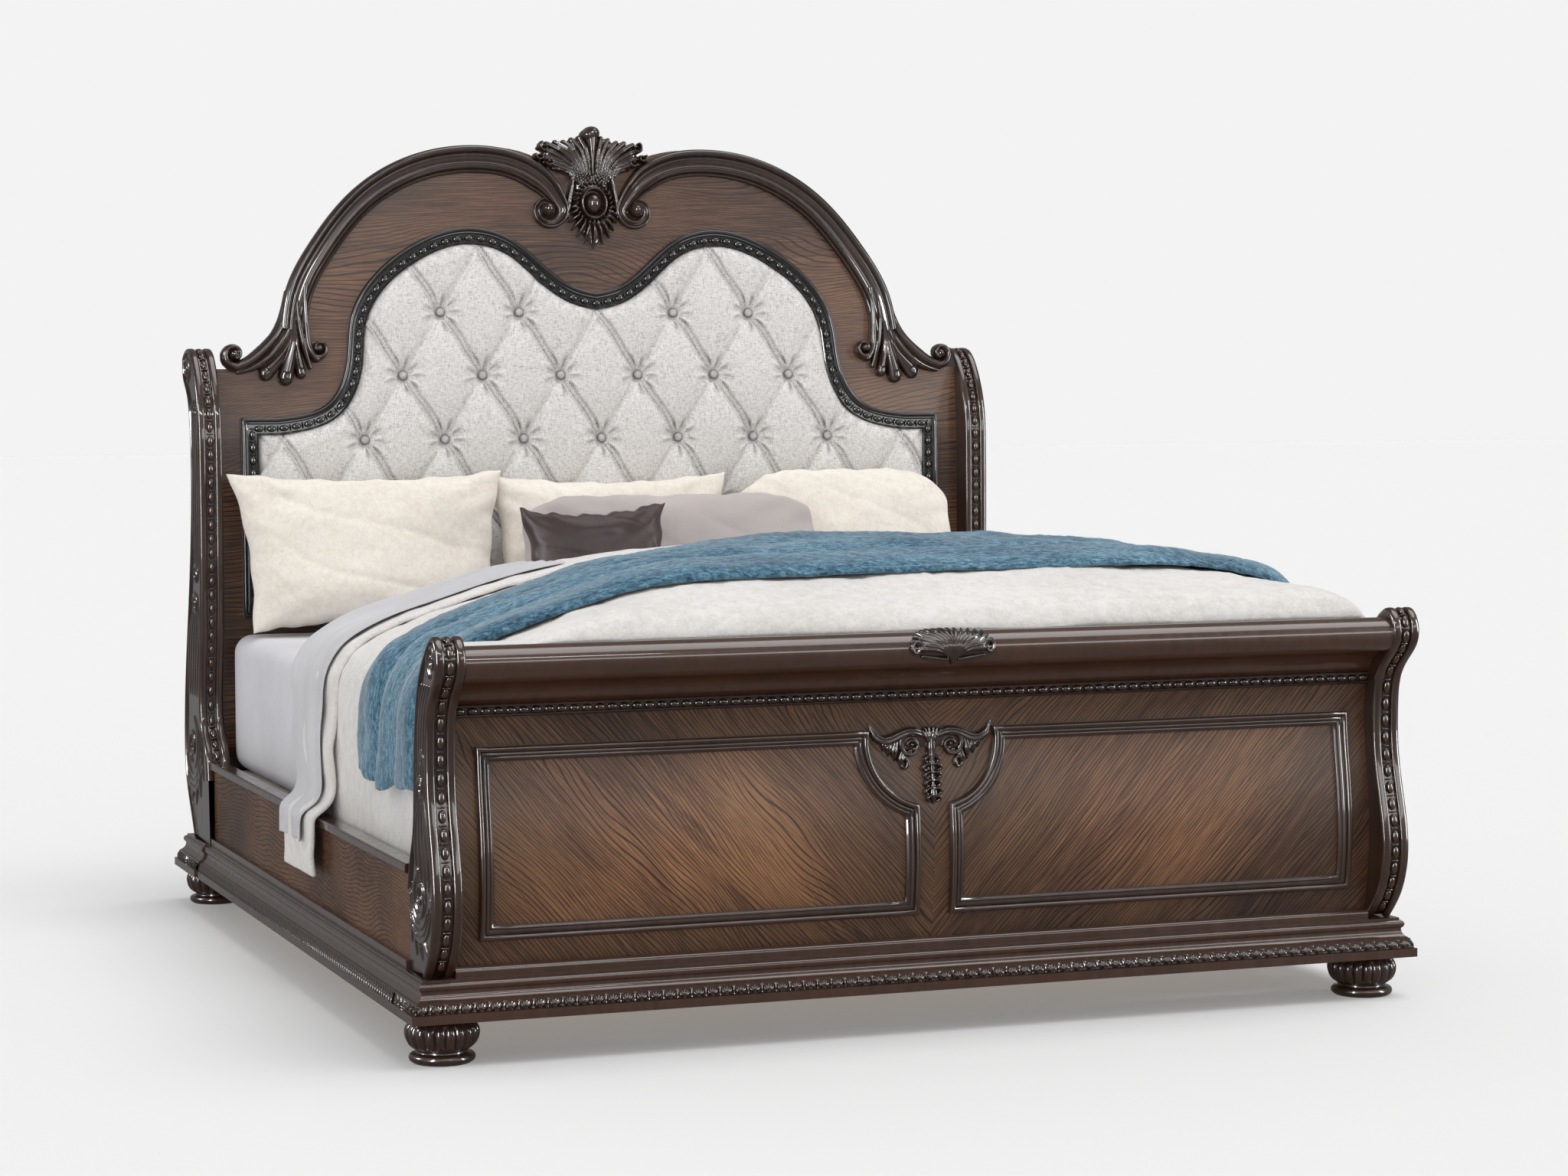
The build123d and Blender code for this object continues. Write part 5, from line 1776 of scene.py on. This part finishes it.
def pillow_mesh(width, height, thick, seed, ear=.020, slump=0.0, corner=0.0, taper=0.0,
                ruffle=.0022):
    """A stuffed pillow in its own plane: x across, z up from 0, y through it.

    ear is how far the sides pull in between the corners, corner how far those are rounded off,
    taper how much narrower the lower edge is, slump how much fuller the lower half is and ruffle
    how far the seam wavers.
    """
    u = np.linspace(-1, 1, PILLOW_GRID)
    # Rows crowd towards the seam.
    u = np.sign(u) * (1 - (1 - np.abs(u)) ** 1.5)
    uu, vv = np.meshgrid(u, u, indexing="ij")
    au, av = np.abs(uu), np.abs(vv)
    # The sides pull in between the corners.
    x = uu * width / 2 * (1 - ear * 2.2 / width * (1 - vv ** 2) * au ** 3)
    z = vv * height / 2 * (1 - ear * 2.2 / height * (1 - uu ** 2) * av ** 3)
    cut = 1 - corner * (au * av) ** 5
    x, z = x * (1 - taper * (1 - vv) / 2) * cut, z * cut
    # The seam wavers.
    z = z + ruffle * np.sin(uu * 15 + seed) * av ** 8 + ruffle * .6 * np.sin(uu * 31) * av ** 12
    x = x + ruffle * np.sin(vv * 11 + seed) * au ** 8
    body = np.clip((1 - au ** 2.6) * (1 - av ** 2.6), 0, 1) ** .42
    lumps = value_noise(seed, (4, 4), uu.shape) * .085
    lumps = lumps + value_noise(seed + 1, (11, 11), uu.shape) * .030
    # Creases that cross the pillow where its stuffing has shifted.
    crease = np.sin(uu * 3.1 + vv * 4.3 + seed + 1.4 * value_noise(seed + 2, (3, 3), uu.shape))
    lumps = lumps - .055 * (1 - np.abs(crease)) ** 6
    # Pleats that run in from the seam near the corners.
    pleats = .30 * np.cos(np.arctan2(vv, uu) * 22 + seed)
    pleats = pleats * np.clip(np.hypot(uu, vv) - .70, 0, .6) * (1 - body)
    fullness = thick / 2 * body * (1 - slump * vv * .5)
    front = fullness * (1 + lumps + pleats)
    back = fullness * (1 + np.flip(lumps, 0) * .8)
    verts = np.concatenate([np.stack([x, y, z + height / 2], -1).reshape(-1, 3)
                            for y in (-front, back)])
    # Both halves share the points of the seam.
    count = PILLOW_GRID ** 2
    seam = (np.maximum(au, av) > 1 - 1e-6).reshape(-1)
    rear = np.where(seam, np.arange(count), np.arange(count) + count)
    quads = grid_faces(PILLOW_GRID, PILLOW_GRID)
    faces = np.concatenate([quads, rear[quads[:, ::-1]]])
    used, flat = np.unique(faces, return_inverse=True)
    return verts[used], flat.reshape(faces.shape).tolist()


def posed(part, at, lean, turn, roll):
    """A pillow leant back, turned about the vertical and rolled in its own plane."""
    verts, faces = part
    m = Matrix.Translation(at)
    for angle, axis in ((turn, "Z"), (-lean, "X"), (roll, "Y")):
        m = m @ Matrix.Rotation(math.radians(angle), 4, axis)
    m = np.array(m)
    return verts @ m[:3, :3].T + m[:3, 3], faces


def pillow(name, material, slot, node, size, at, lean, turn=0, roll=0, **shape):
    """One pillow in its place."""
    part = posed(pillow_mesh(*size, **shape), at, lean, turn, roll)
    obj = piece(name, part, material, [node])


def pillows():
    """The three cream pillows, the mauve one and the satin cushion before them."""
    for place, size, at, lean, turn, shape in (
            ("left", (.700, .405, .175), (-.655, .868, .700), 15, -2,
             dict(seed=51, ear=.024, slump=.25, taper=.12)),
            ("middle", (.640, .385, .150), (-.010, .900, .703), 13, 1,
             dict(seed=61, ear=.024, slump=.2)),
            ("right", (.610, .390, .150), (.630, .900, .703), 13, 2,
             dict(seed=71, ear=.004, slump=.2, corner=.30))):
        pillow("cream_pillow_" + place, "fleece_fine", "cream_fleece", "cream_pillows", size, at,
               lean, turn, **shape)
    pillow("mauve_pillow", "mauve", "mauve_cotton", "grey_pillow", (.800, .345, .120),
           (.100, .760, .700), 13, seed=81, ear=.012, corner=.22)
    pillow("satin_cushion", "satin", "brown_satin", "accent_cushion", (.385, .310, .105),
           (-.130, .640, .705), 12, turn=2, roll=-2, seed=91, ear=.024, ruffle=.0034)


mattress()
duvet()
flat_sheet()
throw()
pillows()
